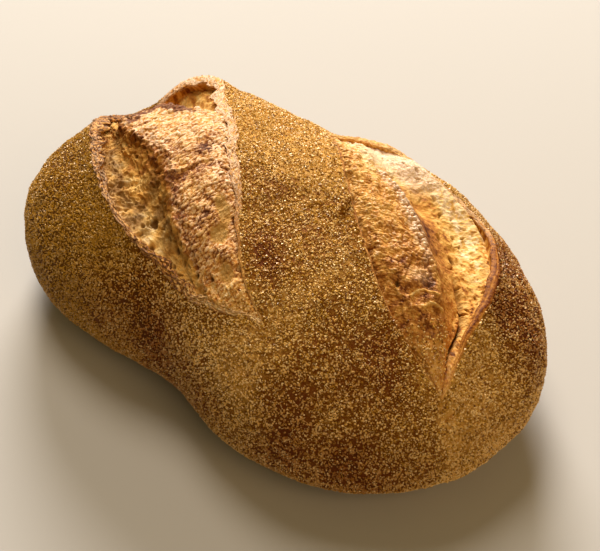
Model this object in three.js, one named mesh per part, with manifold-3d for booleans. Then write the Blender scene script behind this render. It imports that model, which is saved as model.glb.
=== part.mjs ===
import * as THREE from 'three';
import { mergeVertices } from 'three/addons/utils/BufferGeometryUtils.js';
import Module from 'manifold-3d';

// Corn rye loaf: an oval hearth bread with two slanting cuts that opened in the oven.
// Millimetres, +Z up, long axis along X, resting flat on Z = 0 with its outline centred on the origin.

// Whole loaf
const HALF_LENGTH = 145;
const HALF_WIDTH = 90.2;
const HEIGHT = 102;
const WAIST_HEIGHT = 36;
const PLAN_POWER = 2.39;
const CROWN_POWER = 2.21;
const FOOT_POWER = 2.8;
const FOOT_SINK = 7;
const CENTRE_SHIFT = [2.24, -2.7];

// Uneven plan outline: cosine and sine share of the radius at one to five waves a turn
const LOBES = [[-0.009, 0.002], [0.034, 0.051], [-0.032, -0.030], [-0.020, -0.007], [0.022, 0.017]];

// Gentle unevenness of the baked crust
const SWELL_HEIGHT = 0.7;
const SWELL_FADE = [5, 25];

// Crust mesh
const CRUST_DETAIL = 14;
const CROWN_CROWDING = 1.35;

// Both cuts run this way in plan, and their stations below are (along, across) from the loaf's middle
const CUT_ANGLE = THREE.MathUtils.degToRad(-29.5);
const CUT_ROWS = 42;
const SKIN_COLUMNS = 7;
const VALLEY_COLUMNS = 7;

// Stations from the far tip to the near tip. The hinge is the side next to the loaf's middle and the ear
// is the lifted outer side. ridgeAt is the torn crest's place between them, 0 at the hinge and 1 at the ear.
const LEFT_CUT = {
  seed: 3,
  hinge: [[-129, -43], [-125, -22], [-104, -7], [-80, -10], [-55, -11], [-30, -17], [-5, -21],
    [19, -28], [43, -31], [66, -30]],
  ear: [[-129, -43], [-123, -64], [-105, -77], [-80, -82], [-55, -85], [-30, -84], [-5, -77],
    [19, -62], [43, -50], [66, -30]],
  hingeRise: [-1, 4, 5, 1.6, 0.8, 0.8, 0.8, 0.8, 0.6, 0.3],
  earRise: [-1, 1, 3, 3.2, 3.2, 3, 2.6, 1.8, 1, 0.3],
  curl: [1, 4, 4.5, 1.5, 1, 1, 1, 0.8, 0.5, 0.2],
  ridgeAt: [0.7, 0.75, 0.88, 0.78, 0.64, 0.57, 0.58, 0.7, 0.88, 0.9],
  swell: [-8, -9, -2, 3, 4, 4, 3.5, 2.5, 1.2, 0],
  ridgeRise: [-6, -6, -1, 2.4, 3, 3, 2.4, 1.4, 0.8, 0],
  valleyDrop: [8, 8, 5, 7, 8, 7.5, 5, 2, 0.4, 0.2],
  crestSlant: 0.13,
};
const RIGHT_CUT = {
  seed: 8,
  hinge: [[-47, 38], [-25, 35], [0, 31], [25, 28], [50, 26], [75, 26], [98, 31], [119, 39]],
  ear: [[-47, 38], [-30, 61], [-5, 80], [25, 93], [52, 90], [78, 77], [98, 59], [119, 39]],
  hingeRise: [0.5, 0.8, 0.8, 0.8, 0.8, 0.8, 0.6, 0.3],
  earRise: [1, 3.6, 0.2, 0.6, 3.8, 4.6, 3, 0.4],
  curl: [0.2, 1, 1.6, 2, 2.4, 2.4, 1.2, 0.2],
  ridgeAt: [0.5, 0.48, 0.43, 0.42, 0.47, 0.52, 0.58, 0.6],
  swell: [0, 1.5, 3, 4, 4.2, 3.8, 2, 0],
  ridgeRise: [0, 1.4, 3, 3.6, 3.6, 3, 0.4, -0.5],
  valleyDrop: [0.4, 1.5, 5, 8.5, 9.5, 9, 6, 1],
  crestSlant: 0,
};

// The loaf sags a little behind the left cut's far end
const SAG = { along: -122, across: -56, reach: 24, depth: 4 };

// Torn crumb and blistered skin inside the cuts
const HINGE_CRACK = 1.6;
const BLISTER_PITCH = 11;
const BLISTER_HEIGHT = 1.1;
const RAGGED_PITCH = 6;
const RAGGED_HEIGHT = 1.3;

// How the cuts are carved: everything reaches this far under or out of the crust
const CARVE_MARGIN = 2.5;
const CRUMB_MARGIN = 4;
const CRUMB_DEPTH = 20;
const CARVE_HEIGHT = 26;
const CARVE_CLEARANCE = 1;
const LIP_DEPTH = 14;

// The crust lifts towards each cut's line over this distance
const LIP_REACH = 17;

// Coarse corn grits that stand out of the meal on the crust
const GRIT_COUNT = 110;
const GRIT_RADIUS = 1.15;
const GRIT_LOWEST = 0.12;
const GRIT_CUT_CLEARANCE = 12;
const GOLDEN_ANGLE = Math.PI * (3 - Math.sqrt(5));

const wasm = await Module();
wasm.setup();

function smooth(low, high, value) {
  return THREE.MathUtils.smoothstep(value, low, high);
}

// Seeded value between 0 and 1 for a whole-number place
function lattice(i, j, seed) {
  const spread = Math.sin(i * 127.1 + j * 311.7 + seed * 74.7) * 43758.5453;
  return spread - Math.floor(spread);
}

// Smooth seeded noise between -1 and 1
function noise(x, y, seed) {
  const i = Math.floor(x);
  const j = Math.floor(y);
  const across = smooth(0, 1, x - i);
  const up = smooth(0, 1, y - j);
  const near = THREE.MathUtils.lerp(lattice(i, j, seed), lattice(i + 1, j, seed), across);
  const far = THREE.MathUtils.lerp(lattice(i, j + 1, seed), lattice(i + 1, j + 1, seed), across);
  return 2 * THREE.MathUtils.lerp(near, far, up) - 1;
}

// Value of a smooth curve through evenly spaced stations, at a share of its length
function through(stations, share) {
  const last = stations.length - 1;
  const index = Math.min(Math.floor(share * last), last - 1);
  const before = stations[Math.max(index - 1, 0)];
  const after = stations[Math.min(index + 2, last)];
  const step = share * last - index;
  const enter = (stations[index + 1] - before) / 2;
  const leave = (after - stations[index]) / 2;
  const change = stations[index] - stations[index + 1];
  const cubic = 2 * change + enter + leave;
  const square = -3 * change - 2 * enter - leave;
  return ((cubic * step + square) * step + enter) * step + stations[index];
}

function planRadius(angle) {
  const oval = (Math.abs(Math.cos(angle) / HALF_LENGTH) ** PLAN_POWER
    + Math.abs(Math.sin(angle) / HALF_WIDTH) ** PLAN_POWER) ** (-1 / PLAN_POWER);
  const uneven = LOBES.reduce((sum, [even, odd], index) => {
    const turn = (index + 1) * angle;
    return sum + even * Math.cos(turn) + odd * Math.sin(turn);
  }, 1);
  return oval * uneven;
}

// Point of the plain loaf at a plan angle and a lift, from -90 degrees below to 90 degrees on top.
// Its foot reaches below Z = 0, where it is trimmed flat.
function plainPoint(angle, lift) {
  const power = lift >= 0 ? CROWN_POWER : FOOT_POWER;
  const reach = planRadius(angle) * Math.cos(lift) ** (2 / power);
  const rise = Math.abs(Math.sin(lift)) ** (2 / power);
  const height = lift >= 0
    ? WAIST_HEIGHT + (HEIGHT - WAIST_HEIGHT) * rise
    : WAIST_HEIGHT - (WAIST_HEIGHT + FOOT_SINK) * rise;
  return new THREE.Vector3(reach * Math.cos(angle), reach * Math.sin(angle), height);
}

// Top of the plain loaf over a place in plan
function plainTop(x, y) {
  const angle = Math.atan2(y, x);
  const share = Math.min(Math.hypot(x, y) / planRadius(angle), 0.998);
  return plainPoint(angle, Math.acos(share ** (CROWN_POWER / 2)));
}

function topNormal(x, y) {
  const step = 0.5;
  const alongX = plainTop(x + step, y).sub(plainTop(x - step, y));
  const alongY = plainTop(x, y + step).sub(plainTop(x, y - step));
  return alongX.cross(alongY).normalize();
}

function cutToPlan(along, across) {
  return [along * Math.cos(CUT_ANGLE) - across * Math.sin(CUT_ANGLE),
    along * Math.sin(CUT_ANGLE) + across * Math.cos(CUT_ANGLE)];
}

const [SAG_X, SAG_Y] = cutToPlan(SAG.along, SAG.across);

// How far the real crust stands off the plain loaf
function crustRelief(point) {
  const waves = Math.sin(point.x / 17 + 1.1) * Math.sin(point.y / 14 + point.z / 19 + 0.4)
    + 0.6 * Math.sin(point.x / 9 - point.y / 11 + 2.1) * Math.sin(point.z / 12 + point.y / 13);
  const sag = Math.hypot(point.x - SAG_X, point.y - SAG_Y) / SAG.reach;
  return SWELL_HEIGHT * waves * smooth(...SWELL_FADE, point.z) - SAG.depth * Math.exp(-sag * sag);
}

// The crust over a place in plan, with the direction that it faces
function crustTop(x, y) {
  const point = plainTop(x, y);
  const normal = topNormal(x, y);
  return { point: point.addScaledVector(normal, crustRelief(point)), normal };
}

// Share of a lip's rise that is left at a distance from its edge
function lipShare(distance) {
  return Math.max(0, 1 - distance / LIP_REACH) ** 2;
}

// How far the crust lifts at a point because of the lips near it
function lipLift(point, contours) {
  const nearest = new THREE.Vector3();
  return contours.reduce((sum, contour) => {
    let closest = { distance: LIP_REACH, rise: 0 };
    contour.forEach((place, index) => {
      const next = contour[(index + 1) % contour.length];
      const segment = new THREE.Line3(place.point, next.point);
      segment.closestPointToPoint(point, true, nearest);
      const distance = nearest.distanceTo(point);
      if (distance < closest.distance) {
        const step = nearest.distanceTo(place.point) / segment.distance();
        closest = { distance, rise: THREE.MathUtils.lerp(place.rise, next.rise, step) };
      }
    });
    return sum + closest.rise * lipShare(closest.distance);
  }, 0);
}

function toSolid(geometry) {
  geometry.deleteAttribute('normal');
  geometry.deleteAttribute('uv');
  const merged = mergeVertices(geometry, 1e-4);
  return new wasm.Manifold(new wasm.Mesh({
    numProp: 3,
    vertProperties: merged.attributes.position.array,
    triVerts: new Uint32Array(merged.index.array),
  }));
}

// Closed mesh from points and triangles, turned so that its faces point out
function closedGeometry(points, faces) {
  const volume = faces.reduce((sum, [a, b, c]) => {
    return sum + points[a].dot(new THREE.Vector3().crossVectors(points[b], points[c]));
  }, 0);
  const turned = volume > 0 ? faces : faces.map(([a, b, c]) => [a, c, b]);
  const geometry = new THREE.BufferGeometry().setFromPoints(points);
  return geometry.setIndex(turned.flat());
}

// The crust: a sphere of triangles, denser on the crown, moved onto the loaf's form
function crustSolid(contours) {
  const geometry = new THREE.IcosahedronGeometry(1, CRUST_DETAIL);
  const places = geometry.attributes.position;
  const direction = new THREE.Vector3();
  for (let index = 0; index < places.count; index += 1) {
    direction.fromBufferAttribute(places, index).normalize();
    const fromTop = Math.PI * (Math.acos(direction.z) / Math.PI) ** CROWN_CROWDING;
    const angle = Math.atan2(direction.y * HALF_WIDTH, direction.x * HALF_LENGTH);
    const lift = Math.PI / 2 - fromTop;
    const point = plainPoint(angle, lift);
    const facing = lift > 0.15 ? topNormal(point.x, point.y) : new THREE.Vector3(direction.x, direction.y, 0);
    point.addScaledVector(facing, crustRelief(point) + lipLift(point, contours));
    places.setXYZ(index, point.x, point.y, point.z);
  }
  const below = new THREE.BoxGeometry(3 * HALF_LENGTH, 3 * HALF_WIDTH, HEIGHT);
  below.translate(0, 0, -HEIGHT / 2);
  return toSolid(geometry).subtract(toSolid(below));
}

// The closed line round a cut: down the hinge from the far tip, and back along the ear.
// Each place holds its point on the crust, the way out of the cut along the crust, and the lip's sizes.
function cutContour(cut) {
  const side = (name, share, axis) => through(cut[name].map((place) => place[axis]), share);
  const places = [];
  for (let step = 0; step < 2 * CUT_ROWS; step += 1) {
    const onHinge = step <= CUT_ROWS;
    const share = onHinge ? step / CUT_ROWS : 2 - step / CUT_ROWS;
    const name = onHinge ? 'hinge' : 'ear';
    const [x, y] = cutToPlan(side(name, share, 0), side(name, share, 1));
    places.push({
      x, y, ...crustTop(x, y),
      rise: through(onHinge ? cut.hingeRise : cut.earRise, share),
      curl: through(cut.curl, share) * (onHinge && share > 0.35 ? 0.3 : 1),
    });
  }
  const turn = Math.sign(cut.hinge[2][1] - cut.ear[2][1]);
  return places.map((place, index) => {
    const next = places[(index + 1) % places.length];
    const last = places[(index + places.length - 1) % places.length];
    const tangent = new THREE.Vector3().subVectors(next.point, last.point).normalize();
    const outward = new THREE.Vector3().crossVectors(place.normal, tangent).multiplyScalar(turn).normalize();
    return { ...place, outward };
  });
}

// Place beside a cut's line, so far out along the crust and so high above it
function besideCut(place, out, height) {
  return place.point.clone().addScaledVector(place.outward, out).addScaledVector(place.normal, height);
}

// The lip's cross-section: a crust that swells up to its edge, curls over the cut and turns down inside
function lipSection({ rise, curl }) {
  const flank = (out, lift) => [out, rise * lipShare(out) + lift];
  return [flank(11, -2.5), flank(5, -0.7), flank(2.4, 0.2), flank(0.3, 0.4), [-0.7 * curl, 0.9 * rise],
    [-curl, 0.5 * rise - 1.2], [0.5, -2.4], [1.5, -LIP_DEPTH], [9, -LIP_DEPTH]];
}

function lipSolid(contour) {
  const points = [];
  const faces = [];
  const sections = contour.map(lipSection);
  const size = sections[0].length;
  contour.forEach((place, row) => {
    sections[row].forEach(([out, height]) => points.push(besideCut(place, out, height)));
    const next = (row + 1) % contour.length;
    for (let corner = 0; corner < size; corner += 1) {
      const beside = (corner + 1) % size;
      faces.push([row * size + corner, next * size + corner, row * size + beside]);
      faces.push([row * size + beside, next * size + corner, next * size + beside]);
    }
  });
  return toSolid(closedGeometry(points, faces));
}

// Height of the opened crumb off the crust's own line, share along the cut and width 0 to 1 across it.
// Widths below a half are the blistered skin from the hinge to the ridge, and the rest is the valley.
function crumbHeight(cut, share, width) {
  const slant = cut.crestSlant * (1 - width) * (1 - smooth(0.35, 0.6, share));
  const swell = through(cut.swell, Math.max(share - slant, 0));
  const ridge = through(cut.ridgeRise, share);
  const drop = through(cut.valleyDrop, share);
  const ends = Math.sin(Math.PI * share) ** 0.5;
  const profile = width < 0.5
    ? through([-HINGE_CRACK, 0.75 * swell, swell, 0.9 * swell, ridge], 2 * width)
    : through([ridge, -0.55 * drop, -drop, -0.85 * drop, -0.3 * drop], 2 * width - 1);
  const along = share * 190;
  const across = width * 60;
  const blisters = BLISTER_HEIGHT * noise(along / BLISTER_PITCH, across / BLISTER_PITCH, cut.seed);
  const ragged = RAGGED_HEIGHT * noise(along / RAGGED_PITCH, 0, cut.seed + 1)
    * (smooth(0.34, 0.5, width) - smooth(0.5, 0.6, width));
  return profile + ends * (blisters + ragged);
}

// A closed slab over a cut: its lower and upper faces stand off the opened crumb by the two offsets
function crumbSlab(cut, contour, margin, lower, upper) {
  const columns = SKIN_COLUMNS + VALLEY_COLUMNS;
  const rows = [];
  for (let row = 0; row <= CUT_ROWS; row += 1) {
    const share = row / CUT_ROWS;
    const hinge = contour[row];
    const ear = contour[(2 * CUT_ROWS - row) % (2 * CUT_ROWS)];
    const ridgeAt = through(cut.ridgeAt, share);
    const strip = [];
    for (let column = 0; column <= columns; column += 1) {
      const width = column < SKIN_COLUMNS
        ? 0.5 * column / SKIN_COLUMNS
        : 0.5 + 0.5 * (column - SKIN_COLUMNS) / VALLEY_COLUMNS;
      const between = width < 0.5 ? 2 * width * ridgeAt : ridgeAt + (2 * width - 1) * (1 - ridgeAt);
      const height = crumbHeight(cut, share, width);
      const edge = column === 0 ? hinge : ear;
      const rim = column === 0 || column === columns;
      const x = THREE.MathUtils.lerp(hinge.x, ear.x, between);
      const y = THREE.MathUtils.lerp(hinge.y, ear.y, between);
      const top = rim ? null : crustTop(x, y);
      strip.push([lower, upper].map((offset) => {
        return rim
          ? besideCut(edge, margin, height + offset)
          : top.point.clone().addScaledVector(top.normal, height + offset);
      }));
    }
    rows.push(row === 0 || row === CUT_ROWS ? [strip[0]] : strip);
  }
  return sheetSolid(rows);
}

// Joins rows of [lower, upper] point pairs into a closed slab, with a single pair at each tip
function sheetSolid(rows) {
  const points = [];
  const lines = rows.map((row) => row.map(([lower, upper]) => {
    points.push(lower, upper);
    return points.length - 2;
  }));
  const faces = [];
  const addFlat = (a, b, c) => faces.push([a, b, c], [a + 1, c + 1, b + 1]);
  for (let row = 0; row + 1 < lines.length; row += 1) {
    const [near, far] = [lines[row], lines[row + 1]];
    for (let column = 0; column + 1 < Math.max(near.length, far.length); column += 1) {
      if (near.length > 1) addFlat(near[column], near[column + 1], far[Math.min(column, far.length - 1)]);
      if (far.length > 1) addFlat(near[Math.min(column + 1, near.length - 1)], far[column + 1], far[column]);
    }
  }
  const outline = [...lines.map((line) => line[0]), ...lines.slice(1, -1).reverse().map((line) => line.at(-1))];
  outline.forEach((place, index) => {
    const next = outline[(index + 1) % outline.length];
    faces.push([place, next, place + 1], [next, next + 1, place + 1]);
  });
  return toSolid(closedGeometry(points, faces));
}

// Whether a place in plan lies in a cut or close to its line
function nearCut(contour, x, y) {
  let inside = false;
  contour.forEach((place, index) => {
    const next = contour[(index + 1) % contour.length];
    const spans = (place.y > y) !== (next.y > y);
    if (spans && x < place.x + (next.x - place.x) * (y - place.y) / (next.y - place.y)) inside = !inside;
  });
  return inside || contour.some((place) => Math.hypot(place.x - x, place.y - y) < GRIT_CUT_CLEARANCE);
}

// Grits on a golden spiral over the crown, each turned and sized by a seeded rule
function gritSolids(contours) {
  const grits = [];
  for (let index = 0; index < GRIT_COUNT; index += 1) {
    const rise = 1 - (1 - GRIT_LOWEST) * (index + 0.5) / GRIT_COUNT;
    const turn = index * GOLDEN_ANGLE + 0.5 * lattice(index, 1, 0);
    const angle = Math.atan2(Math.sin(turn) * HALF_WIDTH, Math.cos(turn) * HALF_LENGTH);
    const plain = plainPoint(angle, Math.asin(rise));
    if (contours.some((contour) => nearCut(contour, plain.x, plain.y))) continue;
    const { point, normal } = crustTop(plain.x, plain.y);
    point.addScaledVector(normal, lipLift(point, contours));
    const size = GRIT_RADIUS * (0.8 + 0.5 * lattice(index, 2, 0));
    const geometry = new THREE.IcosahedronGeometry(size, 0);
    geometry.scale(1.15, 0.9, 0.8);
    geometry.rotateZ(lattice(index, 3, 0) * Math.PI);
    geometry.applyQuaternion(new THREE.Quaternion().setFromUnitVectors(new THREE.Vector3(0, 0, 1), normal));
    geometry.translate(point.x, point.y, point.z);
    grits.push(toSolid(geometry));
  }
  return grits;
}

// The largest closed body of a solid, so that sealed pockets are filled and loose scraps dropped
function mainBody(solid) {
  return solid.decompose().reduce((best, piece) => (piece.volume() > best.volume() ? piece : best));
}

function loafGeometry() {
  const cuts = [LEFT_CUT, RIGHT_CUT];
  const contours = cuts.map(cutContour);
  let loaf = crustSolid(contours);
  cuts.forEach((cut, index) => {
    const contour = contours[index];
    loaf = loaf.subtract(crumbSlab(cut, contour, CARVE_MARGIN, -CARVE_CLEARANCE, CARVE_HEIGHT));
    loaf = loaf.add(crumbSlab(cut, contour, CRUMB_MARGIN, -CRUMB_DEPTH, 0));
    loaf = loaf.add(lipSolid(contour));
  });
  gritSolids(contours).forEach((grit) => {
    loaf = loaf.add(grit);
  });
  const mesh = mainBody(loaf).getMesh();
  const geometry = new THREE.BufferGeometry();
  geometry.setAttribute('position', new THREE.BufferAttribute(new Float32Array(mesh.vertProperties), 3));
  geometry.setIndex([...mesh.triVerts]);
  geometry.computeVertexNormals();
  return geometry;
}

const crustMaterial = new THREE.MeshStandardMaterial({ color: 0xb7843c, roughness: 0.85, metalness: 0 });

const loaf = new THREE.Mesh(loafGeometry(), crustMaterial);
loaf.name = 'loaf';
loaf.position.set(...CENTRE_SHIFT, 0);

const cornRyeLoaf = new THREE.Group();
cornRyeLoaf.name = 'corn_rye_loaf';
cornRyeLoaf.add(loaf);

export default cornRyeLoaf;
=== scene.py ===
import math

import bpy
import numpy as np
from bpy.props import FloatProperty, FloatVectorProperty, IntProperty, PointerProperty
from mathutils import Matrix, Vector, kdtree


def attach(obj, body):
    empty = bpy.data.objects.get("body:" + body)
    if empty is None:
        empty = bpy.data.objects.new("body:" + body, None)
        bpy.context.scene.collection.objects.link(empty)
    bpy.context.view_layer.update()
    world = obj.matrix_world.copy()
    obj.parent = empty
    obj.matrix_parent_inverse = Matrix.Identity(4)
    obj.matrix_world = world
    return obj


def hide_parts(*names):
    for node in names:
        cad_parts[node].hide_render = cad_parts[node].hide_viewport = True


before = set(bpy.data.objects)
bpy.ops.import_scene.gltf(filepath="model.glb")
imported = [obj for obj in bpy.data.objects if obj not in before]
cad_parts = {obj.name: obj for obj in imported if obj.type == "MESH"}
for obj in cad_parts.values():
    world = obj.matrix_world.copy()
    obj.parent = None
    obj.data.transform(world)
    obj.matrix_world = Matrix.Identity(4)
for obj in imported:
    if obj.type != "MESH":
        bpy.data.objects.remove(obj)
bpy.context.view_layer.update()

bl_info = {
    "name": "Corn Rye Loaf",
    "version": (1, 0, 0),
    "blender": (4, 5, 0),
    "location": "View3D > Sidebar > Loaf",
    "description": "Builds an oval corn rye loaf with torn, opened cuts and a coat of corn meal",
    "category": "Add Mesh",
}

NODE = "loaf"
MM = 0.001

# Fineness: faces along each edge of the crust's cube, steps along and across a cut, and steps along each
# side of a lip and over its shown part, then over its hidden part
CRUST_FACES = 127
CRUMB_STEPS = (480, 200)
LIP_STEPS = (440, 96)
LIP_HIDDEN_STEPS = 12

# How much closer together the crust's points lie on the crown, 1 for not at all
CROWN_PACKING = 1.35

# Corner of a lip's section at which its shown part ends and its hidden part starts
BRIM_END = 9

# Hidden parts, in millimetres: the well that the crust makes inside a cut, how far the crust dips under
# a lip, how far the crumb reaches under the crust, where its rim starts and how deep its underside is
WELL_DEPTH = 16.0
LIP_DIP = 1.4
CRUMB_MARGIN = 4.0
RIM_SINK = 1.6
CRUMB_DEPTH = 15

# The photo's view: the lens on a sensor of this width, in millimetres, then degrees round from the front
# and up from the floor, metres away, and the point looked at, in millimetres from the loaf's middle
SENSOR_WIDTH = 36
LENS = 78.93
VIEW_AZIMUTH, VIEW_ELEVATION = 44.08, 48
VIEW_DISTANCE = 0.6768
VIEW_TARGET = (9.33, 1.47, 45)

# The floor's half side, and how far it lies under the loaf so that they don't flicker, in metres
FLOOR_HALF = 6
FLOOR_DROP = 0.0003

# Uneven plan outline: cosine and sine share of the radius at one to five waves a turn
LOBES = [(-0.009, 0.002), (0.034, 0.051), (-0.032, -0.030), (-0.020, -0.007), (0.022, 0.017)]

# The loaf's middle is moved this far so that its outline is centred, in millimetres
CENTRE_SHIFT = (2.24, -2.7)

# Stations along each cut from its far tip to its near tip, (along, across) in millimetres. The hinge is
# the side next to the loaf's middle, and the ear is the lifted outer side.
# On both sides, rise is the lip's height, band is the torn edge's width and bare is the width without
# meal outside it, in millimetres. Bake runs from 0, cream crumb, to 1, dark crust. Flour and curl are
# shares, and grit is how rough the lip is.
# Between them, ridge_at is the ridge's share of the way from hinge to ear, and swell, ridge_rise and
# valley_drop are heights in millimetres. Crest is the share of the cut's length at which the raised skin
# starts, from hinge to ear, and hollow is the depth before it.
LEFT_CUT = {
    "name": "left",
    "seed": 3,
    "hinge": [(-129, -43), (-125, -22), (-104, -7), (-80, -10), (-55, -11), (-30, -17), (-5, -21),
              (19, -28), (43, -31), (66, -30)],
    "ear": [(-129, -43), (-123, -63), (-105, -75), (-80, -79.5), (-55, -82.5), (-30, -82), (-5, -76),
            (19, -62), (43, -50), (66, -30)],
    "hinge_rise": [-2.5, 5.2, 5.2, 1.6, 0.8, 0.8, 0.8, 0.8, 0.6, 0.3],
    "ear_rise": [-2.5, 0.2, 2.8, 3.2, 3.2, 3, 2.6, 1.8, 1, 0.3],
    "hinge_band": [1.4, 4.2, 5, 5, 4.2, 3.4, 2.4, 1.2, 0.8, 0.4],
    "ear_band": [1.2, 2.8, 4.4, 4.6, 4, 2, 1.2, 2.6, 2.8, 0.8],
    "hinge_bare": [0.5, 0.4, 0.6, 1, 1.6, 1.4, 1, 0.8, 0.6, 0.4],
    "ear_bare": [1, 1.4, 2, 1.8, 1.4, 0.6, 0.7, 3, 2, 0.8],
    "hinge_bake": [0.8, 0.7, 0.62, 0.6, 0.6, 0.62, 0.64, 0.6, 0.5, 0.4],
    "ear_bake": [0.8, 0.88, 0.86, 0.84, 0.8, 0.7, 0.64, 0.66, 0.4, 0.28],
    "hinge_flour": [0.2, 0.7, 0.8, 0.8, 0.75, 0.7, 0.5, 0.15, 0.1, 0.2],
    "ear_flour": [0.2, 0.15, 0.2, 0.26, 0.3, 0.3, 0.2, 0.1, 0.3, 0.3],
    "hinge_curl": [0.5, 0.75, 0.6, 0.2, 0, 0, 0.1, 0.3, 0.4, 0.4],
    "ear_curl": [0.4, 0.6, 0.6, 0.35, 0.25, 0.25, 0.4, 0.4, 0.2, 0.2],
    "hinge_grit": [0.6, 0.7, 0.9, 1, 1, 1, 0.8, 0.5, 0.4, 0.4],
    "ear_grit": [1.2, 1.5, 1.7, 1.7, 1.6, 1.3, 1.2, 1.5, 1.3, 0.8],
    "ridge_at": [0.7, 0.75, 0.86, 0.76, 0.62, 0.53, 0.6, 0.7, 0.86, 0.9],
    "swell": [2, 2, 2.4, 3.2, 4, 4, 3.5, 2.5, 1.2, 0],
    "ridge_rise": [2, 2, 2, 2.4, 3, 3, 2.4, 1.4, 0.8, 0],
    "valley_drop": [8, 8, 5, 7, 8, 7.5, 5, 2, 0.4, 0.2],
    "crest": [0.36, 0.355, 0.345, 0.305, 0.27, 0.27, 0.295, 0.31, 0.33],
    "hollow": 8,
}
RIGHT_CUT = {
    "name": "right",
    "seed": 8,
    "hinge": [(-47, 38), (-25, 35), (0, 31), (25, 28), (50, 26), (75, 26), (98, 31), (119, 39)],
    "ear": [(-47, 38), (-30, 61), (-5, 80), (25, 93), (52, 90), (78, 77), (98, 59), (119, 39)],
    "hinge_rise": [0.5, 0.8, 0.8, 0.8, 0.8, 0.8, 0.6, 0.3],
    "ear_rise": [1, 4.4, 0.4, 0.6, 3.8, 4.6, 3, 0.4],
    "hinge_band": [0.8, 0.9, 0.7, 0.5, 0.45, 0.4, 0.25, 0.2],
    "ear_band": [1, 3, 1.4, 1.2, 2.6, 3.8, 2, 0.4],
    "hinge_bare": [0.5, 0.4, 0.3, 0.3, 0.3, 0.2, 0, 0],
    "ear_bare": [1, 2, 1.5, 0.8, 0, 0, 0, 0.2],
    "hinge_bake": [0.5, 0.72, 0.66, 0.62, 0.62, 0.6, 0.55, 0.4],
    "ear_bake": [0.44, 0.4, 0.46, 0.64, 0.75, 0.76, 0.72, 0.45],
    "hinge_flour": [0.3, 0.1, 0.1, 0.1, 0.1, 0.1, 0.1, 0.1],
    "ear_flour": [0.2, 0.25, 0.5, 0.5, 0, 0, 0, 0.1],
    "hinge_curl": [0.4, 0.4, 0.3, 0.2, 0.2, 0.2, 0.2, 0.2],
    "ear_curl": [0.3, 0.35, 0.4, 0.45, 0.4, 0.45, 0.4, 0.3],
    "hinge_grit": [0.6, 0.7, 0.7, 0.5, 0.4, 0.3, 0.3, 0.3],
    "ear_grit": [0.5, 1, 1, 0.7, 0.2, 0.1, 0.15, 0.3],
    "ridge_at": [0.5, 0.46, 0.41, 0.40, 0.44, 0.5, 0.58, 0.6],
    "swell": [0, 1.5, 3, 4, 4.2, 3.8, 2, 0],
    "ridge_rise": [0, 1.4, 3, 3.6, 3.6, 3, 0.4, -0.5],
    "valley_drop": [0.4, 1.5, 5, 8.5, 9.5, 9, 6, 1],
    "crest": None,
    "hollow": 0,
}

# Smooth hollows in the torn skin: along, across, half length, half width and depth in millimetres
LEFT_HOLLOWS = [(3, -31, 9, 3.6, 2.4), (16, -36, 6, 5, 2.2), (36, -38, 7, 4, 1.8)]
RIGHT_HOLLOWS = [(15, 68, 7, 4, 1.8), (-7, 50, 7, 1.8, 3), (-33, 50, 8, 1.5, 2.6), (74, 44, 3.4, 6, 1.8)]

# Open bubbles in the crumb: along, across, half length, half width and depth in millimetres
LEFT_PORES = [
    (-9, -66, 3.2, 2.1, 3.4), (-42, -73, 2.6, 1.3, 1.4), (-9, -71, 1.3, 1, 2), (4, -69, 1.8, 1.2, 2.4),
    (12, -58, 2.2, 1.3, 2.6), (18, -61, 1.3, 0.9, 1.8), (29, -51, 1.8, 1.3, 2.6), (35, -45, 1.5, 1, 2),
]
RIGHT_PORES = [
    (69, 33.6, 1.7, 1.2, 2.8), (36, 71, 2.6, 1, 2.4), (50, 73.5, 3, 1.1, 2.6), (34, 80, 1.2, 0.8, 1.6),
]

# Small bowed ridges in the right cut's skin: their two ends as (along, across), bow and half width
RIGHT_RIMS = [((76, 38), (77, 50), 3, 0.8), ((82, 42), (83, 51), 2, 0.8)]

# Soft spots in the three tables below: along, across, half length and half width in millimetres, and
# strength. The first are paler pockets in the left cut's valley.
PALE_POCKETS = [(-62, -75, 7, 4, 1), (-39, -70, 7, 4, 1), (-2, -69, 7, 4, 1)]

# Painted shade in creases of the left cut's skin
LEFT_CREASE_SHADE = [(7, -38, 9, 4.5, 1), (-37, -30, 8, 4, 1)]

# Darker spots on the crust, and paler ones, which are below 0. Two are painted shade: beside the right cut's
# hinge near its tip, and below the left cut's lower lip.
TOAST_AND_SHADE_SPOTS = {
    "band over the far crown": (-58, 14, 55, 30, -0.6),
    "between the cuts": (40, -19, 15, 9, 0.6),
    "past the middle": (62, -18, 19, 17, -0.32),
    "near end": (108, 10, 26, 24, 0.14),
    "front left": (84, -48, 24, 14, -0.28),
    "below the left cut's near tip": (44, -62, 24, 9, -0.08),
    "streak past the right cut": (126, 42, 9, 4, -0.5),
    "curled far tip": (-112, -84, 16, 7, 0.5),
    "far left side": (-82, -98, 26, 11, 0.42),
    # Painted shade along the right cut's hinge
    "by the right cut's near tip": (92, 20, 14, 10, 0.22),
    # Painted shadow below the left cut's lower lip
    "below the left lip": (18, -76, 13, 6, 0.22),
}

# Stations round a step of a smooth curve: the one before it, its two ends and the one after it
NEIGHBOURS = (-1, 0, 1, 2)

# The deep slit between the right cut's slope and its crumb wall: share of the width at even steps of its
# length, the shares of the cut's length that it spans, and half its width as a share
SLIT_AT = [0.72, 0.75, 0.8, 0.85, 0.87, 0.82, 0.74]
SLIT_SPAN = (0.6, 0.93)
SLIT_HALF = 0.022

# Inputs of the corn meal's node tree: name, kind of socket and plain value
MEAL_INPUTS = [
    ("Spacing", "Float", 0.0013), ("Density", "Float", 4200000.0), ("Smallest", "Float", 0.0004),
    ("Largest", "Float", 0.0008), ("From", "Float", 0.0), ("To", "Float", 1.0), ("Seed", "Int", 1),
    ("Material", "Material", None),
]


# Number helpers

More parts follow.
